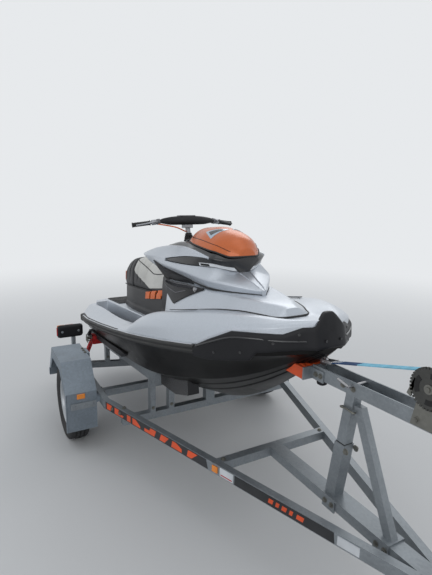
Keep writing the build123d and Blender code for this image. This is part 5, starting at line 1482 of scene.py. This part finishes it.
def build_wheels():
    """Tyres, pressed steel rims with hand holes, studs and dust caps."""
    for k, side in SIDES:
        body = "wheel_" + side
        y_mid = k * TRACK
        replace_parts(tyre_mesh("tyre_tread_" + side, y_mid, body), "tyre_" + side)
        outer = [(0.022, -0.026), (0.030, -0.012), (0.050, -0.010), (0.058, -0.002), (0.058, 0.004)]
        inner = [(0.054, 0.001), (0.034, -0.006), (0.026, -0.021)]
        half = [(h, RIM_R + r) for h, r in outer + inner]
        profile = [(-h, r) for h, r in half[4::-1]] + half + [(-h, r) for h, r in half[:4:-1]]
        barrel = Parts()
        barrel.lathe(profile, (WHEEL_X, y_mid, TYRE_R), (0, 1, 0), 72)
        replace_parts(barrel.done("rim_barrel_" + side, "rim", "rim", body, sharp=50), "rim_" + side)

        def dish(angle, r):
            """Face of the wheel disc."""
            face = straight([0.020, 0.058, 0.070, 0.090, 0.112, 0.128, 0.140],
                            [0.018, 0.018, 0.024, 0.030, 0.022, 0.004, -0.006], r)
            return (WHEEL_X + r * math.cos(angle), y_mid + k * face, TYRE_R + r * math.sin(angle))

        def solid(angle, r):
            """Leaves out the hand holes."""
            turn = (angle % (2 * math.pi / 8)) / (2 * math.pi / 8) - 0.5
            return (turn / 0.22) ** 2 + ((r - 0.106) / 0.012) ** 2 > 1

        radii = [0.020, 0.030, 0.040, 0.050, 0.058, 0.064, 0.070, 0.080, 0.090]
        radii += [0.094, 0.098, 0.102, 0.106, 0.110, 0.114, 0.118, 0.123, 0.128, 0.134, 0.140]
        patch("rim_disc_" + side, dish, spread(0, 2 * math.pi, 160)[::k], radii, 0.003, "rim", "rim", body, solid)
        hub = Parts()
        y0 = y_mid + k * 0.018
        hub.rod((WHEEL_X, y_mid - k * 0.045, TYRE_R), (WHEEL_X, y0 - k * 0.002, TYRE_R), 0.050, 40)
        hub.lathe([(0.0, 0.012), (0.0, 0.030), (0.010, 0.029), (0.018, 0.024), (0.022, 0.012)],
                  (WHEEL_X, y0, TYRE_R), (0, k, 0), 32)
        for i in range(4):
            a = math.radians(45 + 90 * i)
            at = (WHEEL_X + 0.046 * math.cos(a), y0 + k * 0.002, TYRE_R + 0.046 * math.sin(a))
            hub.rod(at, (at[0], at[1] + k * 0.012, at[2]), 0.0095, 6)
            hub.rod((at[0], at[1] + k * 0.011, at[2]), (at[0], at[1] + k * 0.017, at[2]), 0.008, 12, 0.004)
        hub.rod((WHEEL_X + 0.132, y_mid + k * 0.005, TYRE_R), (WHEEL_X + 0.128, y_mid + k * 0.035, TYRE_R), 0.004,
                10)
        hub.done("hub_" + side, "zinc", "galvanised", body, bevel=0.0008)


# Mudguard's outer edge from the front to the back: X from the axle, Z
GUARD_LIP = [
    (0.314, 0.195), (0.315, 0.470), (0.250, 0.500), (0.140, 0.590), (-0.140, 0.590), (-0.250, 0.470),
    (-0.317, 0.440), (-0.320, 0.384),
]


def build_guards():
    """Pressed mudguards with a rolled lip, amber mark and bolted plate in front; tail lamps behind."""
    for k, side in SIDES:
        paint("mudguard_" + side, "guard", 0.0015)
        out = TRACK + TYRE_HALF + 0.032 - 0.001
        lip = [Vector((WHEEL_X + x, k * out, z)) for x, z in GUARD_LIP]
        dense = []
        for a, b in zip(lip, lip[1:]):
            dense += [a.lerp(b, t) for t in (0.0, 0.1, 0.9)]
        tube("guard_lip_" + side, dense + [lip[-1]], 0.005, "guard", "guard", sides=10)
        x = WHEEL_X + 0.316
        mark = Parts()
        mark.side_box(k, (x - 0.002, 0.818, 0.428), (x + 0.008, 0.872, 0.462))
        mark.done("guard_reflector_" + side, "lens_amber", "lamp_red", bevel=0.002)
        plate = Parts()
        plate.side_box(k, (x - 0.001, 0.742, 0.352), (x + 0.005, 0.915, 0.398))
        for y in (0.765, 0.890):
            plate.bolt((x + 0.005, k * y, 0.375), (1, 0, 0), 0.008, 0.006)
        plate.done("guard_plate_" + side, "galv", "guard", bevel=0.0012)
        bolts = Parts()
        for dx in (-0.045, 0.0, 0.045):
            bolts.bolt((WHEEL_X + dx, k * (RAIL_HALF + 0.030), 0.655), (0, 0, 1), 0.008, 0.006)
        for dx in (-0.040, 0.040):
            bolts.bolt((WHEEL_X + dx, k * (RAIL_HALF + 0.026), 0.520), (0, k, 0), 0.008, 0.006)
        bolts.done("guard_bolts_" + side, "zinc", "guard")
        lx = LAMP_X
        y0, y1 = RAIL_HALF - 0.100, RAIL_HALF + 0.115
        lamp = Parts()
        lamp.side_box(k, (lx - 0.018, y0, 0.577), (lx + 0.030, y1, 0.690))
        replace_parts(lamp.done("lamp_housing_" + side, "plastic", "black_trim", bevel=0.028), "tail_lamp_" + side)
        for i, (c, d, mat) in enumerate(((0.006, 0.074, "lens_clear"), (0.077, 0.143, "lens_red"),
                                         (0.146, 0.209, "lens_amber"))):
            lens = Parts()
            lens.side_box(k, (lx - 0.031, y0 + c, 0.584), (lx - 0.014, y0 + d, 0.683))
            lens.done("lens_%d_%s" % (i, side), mat, "lamp_red", bevel=0.006)
        side_mark = Parts()
        side_mark.side_box(k, (lx - 0.010, y1 - 0.004, 0.600), (lx + 0.018, y1 + 0.003, 0.668))
        side_mark.done("lamp_side_mark_" + side, "lens_red", "lamp_red", bevel=0.002)
        post = Parts()
        post.side_box(k, (lx - 0.020, RAIL_HALF - 0.033, RAIL_TOP - 0.001), (lx + 0.024, RAIL_HALF - 0.003, 0.580))
        post.side_box(k, (lx - 0.032, RAIL_HALF - 0.036, RAIL_TOP), (lx + 0.034, RAIL_HALF + 0.002, RAIL_TOP + 0.006))
        post.bolt((lx + 0.024, k * (RAIL_HALF - 0.018), 0.470), (1, 0, 0), 0.007, 0.005)
        post.bolt((lx + 0.030, k * (RAIL_HALF - 0.060), 0.634), (1, 0, 0), 0.007, 0.005)
        post.bolt((lx + 0.030, k * (RAIL_HALF + 0.075), 0.634), (1, 0, 0), 0.007, 0.005)
        post.done("lamp_post_" + side, "galv", "galvanised", bevel=0.002)


def build_bunks():
    """Carpeted bunks, steel bars and the red tie-downs with their ratchets."""
    paint("bunks", "carpet", 0.010)
    paint("bunk_bars", "galv", 0.005)
    paint("tiedowns", "strap_red", 0.002)
    for k, side in SIDES:
        ratchet = Parts()
        for y in (0.560, 0.596):
            cheek = [(-0.035, 0.540), (0.030, 0.532), (0.040, 0.560), (0.010, 0.600), (-0.025, 0.600)]
            ratchet.prism(cheek, *sorted((k * y, k * (y + 0.004))), upright(REAR_X))
        ratchet.rod((REAR_X, k * 0.555, 0.570), (REAR_X, k * 0.605, 0.570), 0.013, 20)
        for dx in (-0.020, 0.022):
            ratchet.rod((REAR_X + dx, k * 0.557, 0.552), (REAR_X + dx, k * 0.603, 0.552), 0.005, 12)
        ratchet.done("ratchet_" + side, "zinc", "tiedown_red", bevel=0.0008)
        lever = Parts()
        outline = [(-0.030, 0.596), (0.020, 0.590), (0.055, 0.640), (0.040, 0.648)]
        lever.prism(outline, *sorted((k * 0.568, k * 0.592)), upright(REAR_X))
        lever.done("ratchet_lever_" + side, "plastic", "black_trim", bevel=0.004)
        bends = ((0.560, 0.568), (0.580, 0.540), (0.610, 0.470), (0.6415, 0.372))
        band = [(REAR_X + 0.025, k * y, z) for y, z in bends]
        strip("ratchet_strap_" + side, curve_points(band, 6), (1, 0, 0), 0.038, 0.003, "strap_red", "tiedown_red")


def build_winch():
    """Winch arm, post, bow stop, winch with its ratchet gear, strap and hook."""
    for node_name, mat, bevel in (
        ("winch_arm", "galv", 0.002), ("winch_post", "galv", 0.005), ("bow_stop", "stop", 0.010),
        ("winch_frame", "zinc", 0.0015), ("winch_drum", "gear", 0.0008), ("winch_crank", "zinc", 0.002),
        ("winch_strap", "strap_in_shade", 0.0),
    ):
        paint(node_name, mat, bevel)
    fittings = Parts()
    for k in (-1, 1):
        for x in (ARM_X0 + 0.030, ARM_X0 + 0.062):
            fittings.bolt((x, k * 0.052, arm_low(x) + 0.022), (0, k, 0))
        for x in (BEAM_X + 0.50, BEAM_X + 0.56):
            fittings.bolt((x, k * 0.046, arm_low(x) + 0.030), (0, k, 0))
        for x in (WINCH_X - 0.045, WINCH_X + 0.035):
            fittings.bolt((x, k * 0.051, arm_low(x) + 0.030), (0, k, 0))
        for x in (BEAM_X + 0.470, BEAM_X + 0.780):
            for dx in (-0.022, 0.022):
                fittings.bolt((x + dx, k * 0.048, 0.404), (0, k, 0))
        fittings.bolt((BEAM_X + 0.535, k * 0.0305, 0.700), (0, k, 0), 0.010, 0.008)
    fittings.done("arm_bolts", "zinc", "galvanised")
    lean = 0.072 / (arm_low(BEAM_X + 0.528) - 0.438)
    xs = BEAM_X + 0.456 + lean * (0.720 - 0.438)
    seam = Parts()
    seam.box((xs - 0.0262, -0.0262, 0.719), (xs + 0.0262, 0.0262, 0.7235))
    seam.done("post_joint", "bore", "galvanised")
    clip = curve_points([(BEAM_X + x, -y, z) for x, y, z in (
        (0.560, 0.022, 0.900), (0.560, 0.036, 0.902), (0.525, 0.037, 0.906), (0.488, 0.036, 0.902),
        (0.488, 0.022, 0.900),
    )], 6)
    tube("post_clip", clip, 0.005, "zinc", "galvanised", sides=10)
    ribs = Parts()
    for y in (-0.075, -0.045, 0.045, 0.075):
        ribs.box((ARM_X0 - 0.100, y - 0.006, ARM_Z + 0.048), (ARM_X0 - 0.014, y + 0.006, ARM_Z + 0.054))
    ribs.done("stop_ribs", "stop", "stop_rubber", bevel=0.003)
    knob = Parts()
    x = ARM_X0 + 0.020
    knob.rod((x, 0, ARM_Z - 0.002), (x, 0, ARM_Z - 0.022), 0.007, 16)
    knob.lathe([(0, 0.006), (0, 0.022), (0.008, 0.026), (0.020, 0.024), (0.026, 0.014), (0.026, 0.004)],
               (x, 0, ARM_Z - 0.018), (0, 0, -1), 24)
    knob.done("stop_knob", "plastic", "black_trim")
    pin = Parts()
    x0, x1 = BEAM_X + 0.555, BEAM_X + 0.490
    z0, z1 = arm_low(x0) + 0.045, arm_low(x1) + 0.060
    pin.rod((x0, -0.075, z0), (x0, 0.060, z0), 0.007, 16)
    pin.rod((x0, -0.072, z0), (x1, -0.072, z1), 0.006, 12)
    pin.done("arm_pin", "steel", "galvanised", bevel=0.001)
    wound = Parts()
    wound.lathe([(-0.0265, 0.040), (-0.0265, 0.0560), (-0.010, 0.0575), (0.010, 0.0575), (0.0265, 0.0560),
                 (0.0265, 0.040)], (WINCH_X, 0, WINCH_Z), (0, 1, 0), 48)
    wound.done("wound_strap", "strap", "strap_web", "winch_drum")
    # Painted shade: near-black arcs on the gear's face stand for its windows, dark through to the inside.
    spots = Parts()
    for i in range(3):
        a0 = math.radians(120 * i + 20)
        arc = [a0 + math.radians(70) * t / 8 for t in range(9)]
        outline = [(0.060 * math.cos(a), 0.060 * math.sin(a)) for a in arc]
        outline += [(0.040 * math.cos(a), 0.040 * math.sin(a)) for a in reversed(arc)]
        spots.prism(outline, -0.0672, -0.0655, upright(WINCH_X, WINCH_Z))
    spots.done("gear_windows", "bore", "winch_zinc", "winch_drum")
    hub = Parts()
    hub.rod((WINCH_X, -0.066, WINCH_Z), (WINCH_X, -0.070, WINCH_Z), 0.018, 24)
    hub.rod((WINCH_X, -0.069, WINCH_Z), (WINCH_X, -0.076, WINCH_Z), 0.010, 6)
    hub.done("drum_nut", "zinc", "winch_zinc", "winch_drum", bevel=0.0006)
    pawl = Parts()
    outline = [(-0.088, -0.012), (-0.070, -0.020), (-0.050, 0.052), (-0.062, 0.060)]
    pawl.prism(outline, -0.066, -0.058, upright(WINCH_X, WINCH_Z - 0.035))
    pawl.done("pawl", "zinc", "winch_zinc", bevel=0.001)
    tube("crank_grip", [(PINION_X, y, PINION_Z - CRANK_L) for y in spread(0.092, 0.190, 14)],
         [0.0165 + 0.002 * math.sin(i * 1.3) for i in range(15)], "rubber", "rubber_black", "winch_crank", 20)
    nut = Parts()
    nut.rod((PINION_X, 0.088, PINION_Z), (PINION_X, 0.097, PINION_Z), 0.013, 6)
    nut.rod((PINION_X, -0.067, PINION_Z), (PINION_X, -0.073, PINION_Z), 0.010, 6)
    nut.done("crank_nut", "zinc", "winch_zinc", "winch_crank", bevel=0.0006)
    eye = Vector(craft(2.914, 0, 0.492))
    hook_x, hook_z = eye.x + 0.007, eye.z
    start = Vector((hook_x + 0.060, 0, hook_z + 0.014))
    end = Vector((WINCH_X - 0.010, 0, WINCH_Z + 0.056))
    # Painted shade: the stretch from the hook, under the bow, takes the dark copy of the webbing; the rest is the lit
    # blue.
    dark = [start.lerp(end, t) for t in spread(0.0, 0.30, 6)]
    light = [start.lerp(end, t) + Vector((0, 0, 0.0002)) for t in spread(0.295, 1.0, 12)]
    web = strip("strap_lead", dark, (0, 1, 0), 0.049, 0.0042, "strap_in_shade", "strap_web")
    strip("strap_run", light, (0, 1, 0), 0.046, 0.0040, "strap", "strap_web")
    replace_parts(web, "winch_strap")
    stitch = Parts()
    for t in (0.02, 0.05, 0.08):
        p = start.lerp(end, t)
        stitch.rod(p + Vector((0, -0.020, 0.003)), p + Vector((0, 0.020, 0.003)), 0.0012, 6)
    stitch.done("strap_stitches", "label", "strap_web")
    hook = Parts()
    for y in (-0.018, 0.012):
        outline = [(-0.008, -0.008), (-0.008, 0.009), (0.066, 0.024), (0.066, 0.006)]
        hook.prism(outline, y, y + 0.006, upright(hook_x, hook_z))
    hook.rod((hook_x, -0.020, hook_z), (hook_x, 0.020, hook_z), 0.006, 16)
    hook.rod((hook_x + 0.060, -0.027, hook_z + 0.014), (hook_x + 0.060, 0.027, hook_z + 0.014), 0.008, 16)
    hook.done("strap_hook", "steel", "stainless", bevel=0.0015)


def build_front():
    """Coupling with its lever and bolts, and the jockey wheel's clamp, crank and roller."""
    for node_name, bevel in (
        ("coupling", 0.005), ("jockey_mount", 0.002), ("jockey_leg", 0.001), ("jockey_fork", 0.002),
    ):
        paint(node_name, "zinc", bevel)
    socket_x = BEAM_X + 1.440
    bolts = Parts()
    for x in (BAR_END - 0.090, BAR_END - 0.030):
        for k in (1, -1):
            bolts.bolt((x, k * 0.046, 0.405), (0, k, 0), 0.010, 0.008)
    bolts.done("coupling_bolts", "zinc", "winch_zinc")
    lever = Parts()
    outline = [(-0.058, 0.030), (0.028, 0.030), (0.024, 0.042), (-0.050, 0.044)]
    lever.prism(outline, -0.016, 0.016, upright(socket_x, RAIL_TOP))
    lever.done("coupling_grip", "plastic", "black_trim", bevel=0.005)
    jx, jy = JOCKEY_X, JOCKEY_Y
    clamp = Parts()
    clamp.lathe([(0.345, 0.0285), (0.345, 0.034), (0.435, 0.034), (0.435, 0.0285)], (jx, jy, 0), (0, 0, 1), 40)
    clamp.rod((jx + 0.030, jy, 0.392), (jx + 0.062, jy, 0.392), 0.007, 16)
    clamp.rod((jx + 0.060, jy - 0.030, 0.392), (jx + 0.060, jy + 0.030, 0.392), 0.006, 16)
    clamp.lathe([(0.795, 0.006), (0.795, 0.030), (0.804, 0.030), (0.808, 0.024), (0.808, 0.006)], (jx, jy, 0),
                (0, 0, 1), 40)
    clamp.done("jockey_clamp", "zinc", "winch_zinc", bevel=0.001)
    grip = [(jx + 0.080, jy, z) for z in spread(0.853, 0.925, 8)]
    tube("jockey_grip", grip, [0.0125, 0.0135, 0.014, 0.0135, 0.0135, 0.014, 0.0145, 0.0145, 0.012], "rubber",
         "rubber_black", sides=20)
    cx, r = jx - 0.036, 0.100
    roller = Parts()
    tread = [(0.012, 0.100), (0.024, 0.096), (0.030, 0.086), (0.028, 0.072), (0.022, 0.066)]
    roller.lathe([(-h, rad) for h, rad in reversed(tread)] + tread, (cx, jy, r), (0, 1, 0), 72)
    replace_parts(roller.done("jockey_tyre", "rubber", "rubber_black", "jockey_wheel"), "jockey_wheel")
    disc = Parts()
    web = [(0.029, 0.010), (0.028, 0.022), (0.006, 0.026), (0.006, 0.054), (0.020, 0.060), (0.024, 0.0675)]
    disc.lathe([(-h, rad) for h, rad in reversed(web)] + web, (cx, jy, r), (0, 1, 0), 60)
    disc.done("jockey_rim", "rim", "rubber_black", "jockey_wheel", bevel=0.001)
    nuts = Parts()
    for k in (1, -1):
        nuts.rod((cx, jy + k * 0.042, r), (cx, jy + k * 0.051, r), 0.011, 6)
    nuts.done("jockey_nuts", "zinc", "winch_zinc", "jockey_fork", bevel=0.0006)


for build in (build_hull, build_deck, build_rails, build_bumper, build_console, build_cowl, build_surround,
              build_handlebar, build_lid, build_seat, build_mats, build_drive, build_rails_trim, build_wheels,
              build_guards, build_bunks, build_winch, build_front):
    build()

# Camera at the photograph's place
PHOTO_H = 575
FOCAL_PX = 451.4
SENSOR_H = 24.0
CAM_AT = (BEAM_X + 1.840, -1.446, 1.834)
CAM_YAW = 0.51
CAM_PITCH = 0.211
CAM_ROLL = 0.0215


def build_camera():
    """Camera solved from the trailer's frame."""
    data = bpy.data.cameras.new("photo_camera")
    cam = bpy.data.objects.new("photo_camera", data)
    bpy.context.collection.objects.link(cam)
    ahead = Vector((-math.cos(CAM_YAW) * math.cos(CAM_PITCH), math.sin(CAM_YAW) * math.cos(CAM_PITCH),
                    -math.sin(CAM_PITCH)))
    right = ahead.cross(Vector((0, 0, 1))).normalized()
    up = right.cross(ahead)
    c, s = math.cos(CAM_ROLL), math.sin(CAM_ROLL)
    right, up = right * c + up * s, up * c - right * s
    rows = [(right[i], up[i], -ahead[i], CAM_AT[i]) for i in range(3)]
    cam.matrix_world = Matrix((*rows, (0, 0, 0, 1)))
    data.sensor_fit = "VERTICAL"
    data.sensor_height = SENSOR_H
    data.lens = SENSOR_H * FOCAL_PX / PHOTO_H
    data.clip_end = 200
    bpy.context.scene.camera = cam


# Studio
BACKDROP = (0.80, 0.82, 0.84)
FLOOR_HALF = 60
LAMPS = [
    # name, place, aim, size, power
    ("key", (-3.6, 3.6, 5.0), (0, 0, 0.8), 4.0, 60),
    ("fill", (3.8, -4.6, 3.0), (0.2, 0, 0.8), 3.4, 45),
    ("top", (1.0, 0.0, 6.0), (0, 0, 0.5), 3.5, 15),
]


def looked_at(tree):
    """1 for rays that see a surface directly, in gloss or through glass."""
    path = tree.nodes.new("ShaderNodeLightPath").outputs
    total = path["Is Camera Ray"]
    for kind in ("Is Glossy Ray", "Is Transmission Ray"):
        total = node(tree, "Math", {0: total, 1: path[kind]}, operation="MAXIMUM").outputs[0]
    return total


def build_floor():
    """Pale floor that takes the shadow and turns into the backdrop far away."""
    n = FLOOR_HALF
    mesh = bpy.data.meshes.new("floor")
    mesh.from_pydata([(-n, -n, 0), (n, -n, 0), (n, n, 0), (-n, n, 0)], [], [(0, 1, 2, 3)])
    floor = bpy.data.objects.new("floor", mesh)
    bpy.context.collection.objects.link(floor)
    mat, tree, shader = node_tree("studio_floor")[:3]
    wire(tree, shader, {"Base Color": (0.60, 0.60, 0.59), "Roughness": 0.9})
    glow = node(tree, "Emission", {"Color": BACKDROP})
    position = node(tree, "NewGeometry", {}).outputs["Position"]
    reach = node(tree, "VectorMath", {0: position}, operation="LENGTH").outputs["Value"]
    far = node(tree, "MapRange", {"From Min": 2.5, "From Max": 9.0, "Value": reach}, interpolation_type="SMOOTHSTEP")
    share = node(tree, "Math", {0: far.outputs["Result"], 1: looked_at(tree)}, operation="MULTIPLY")
    seen = node(tree, "MixShader", {"Fac": share.outputs[0], 1: shader.outputs["BSDF"], 2: glow.outputs["Emission"]})
    wire(tree, tree.nodes["Material Output"], {"Surface": seen.outputs["Shader"]})
    mesh.materials.append(mat)


def build_light():
    """Soft lamps, and a pale world that looks like the backdrop."""
    for name, place, aim, size, power in LAMPS:
        lamp = bpy.data.lights.new(name, "AREA")
        lamp.shape = "DISK"
        lamp.size = size
        lamp.energy = power
        obj = bpy.data.objects.new(name, lamp)
        bpy.context.collection.objects.link(obj)
        obj.location = place
        obj.rotation_euler = (Vector(aim) - Vector(place)).to_track_quat("-Z", "Y").to_euler()
    world = bpy.data.worlds.new("studio")
    world.use_nodes = True
    sky = world.node_tree
    back = sky.nodes["Background"]
    wire(sky, back, {"Color": (0.84, 0.88, 0.94), "Strength": 0.82})
    plain = node(sky, "Background", {"Color": BACKDROP})
    seen = node(sky, "MixShader", {
        "Fac": looked_at(sky), 1: back.outputs["Background"], 2: plain.outputs["Background"],
    })
    wire(sky, sky.nodes["World Output"], {"Surface": seen.outputs["Shader"]})
    bpy.context.scene.world = world
    bpy.context.scene.view_settings.view_transform = "Standard"


build_camera()
build_floor()
build_light()
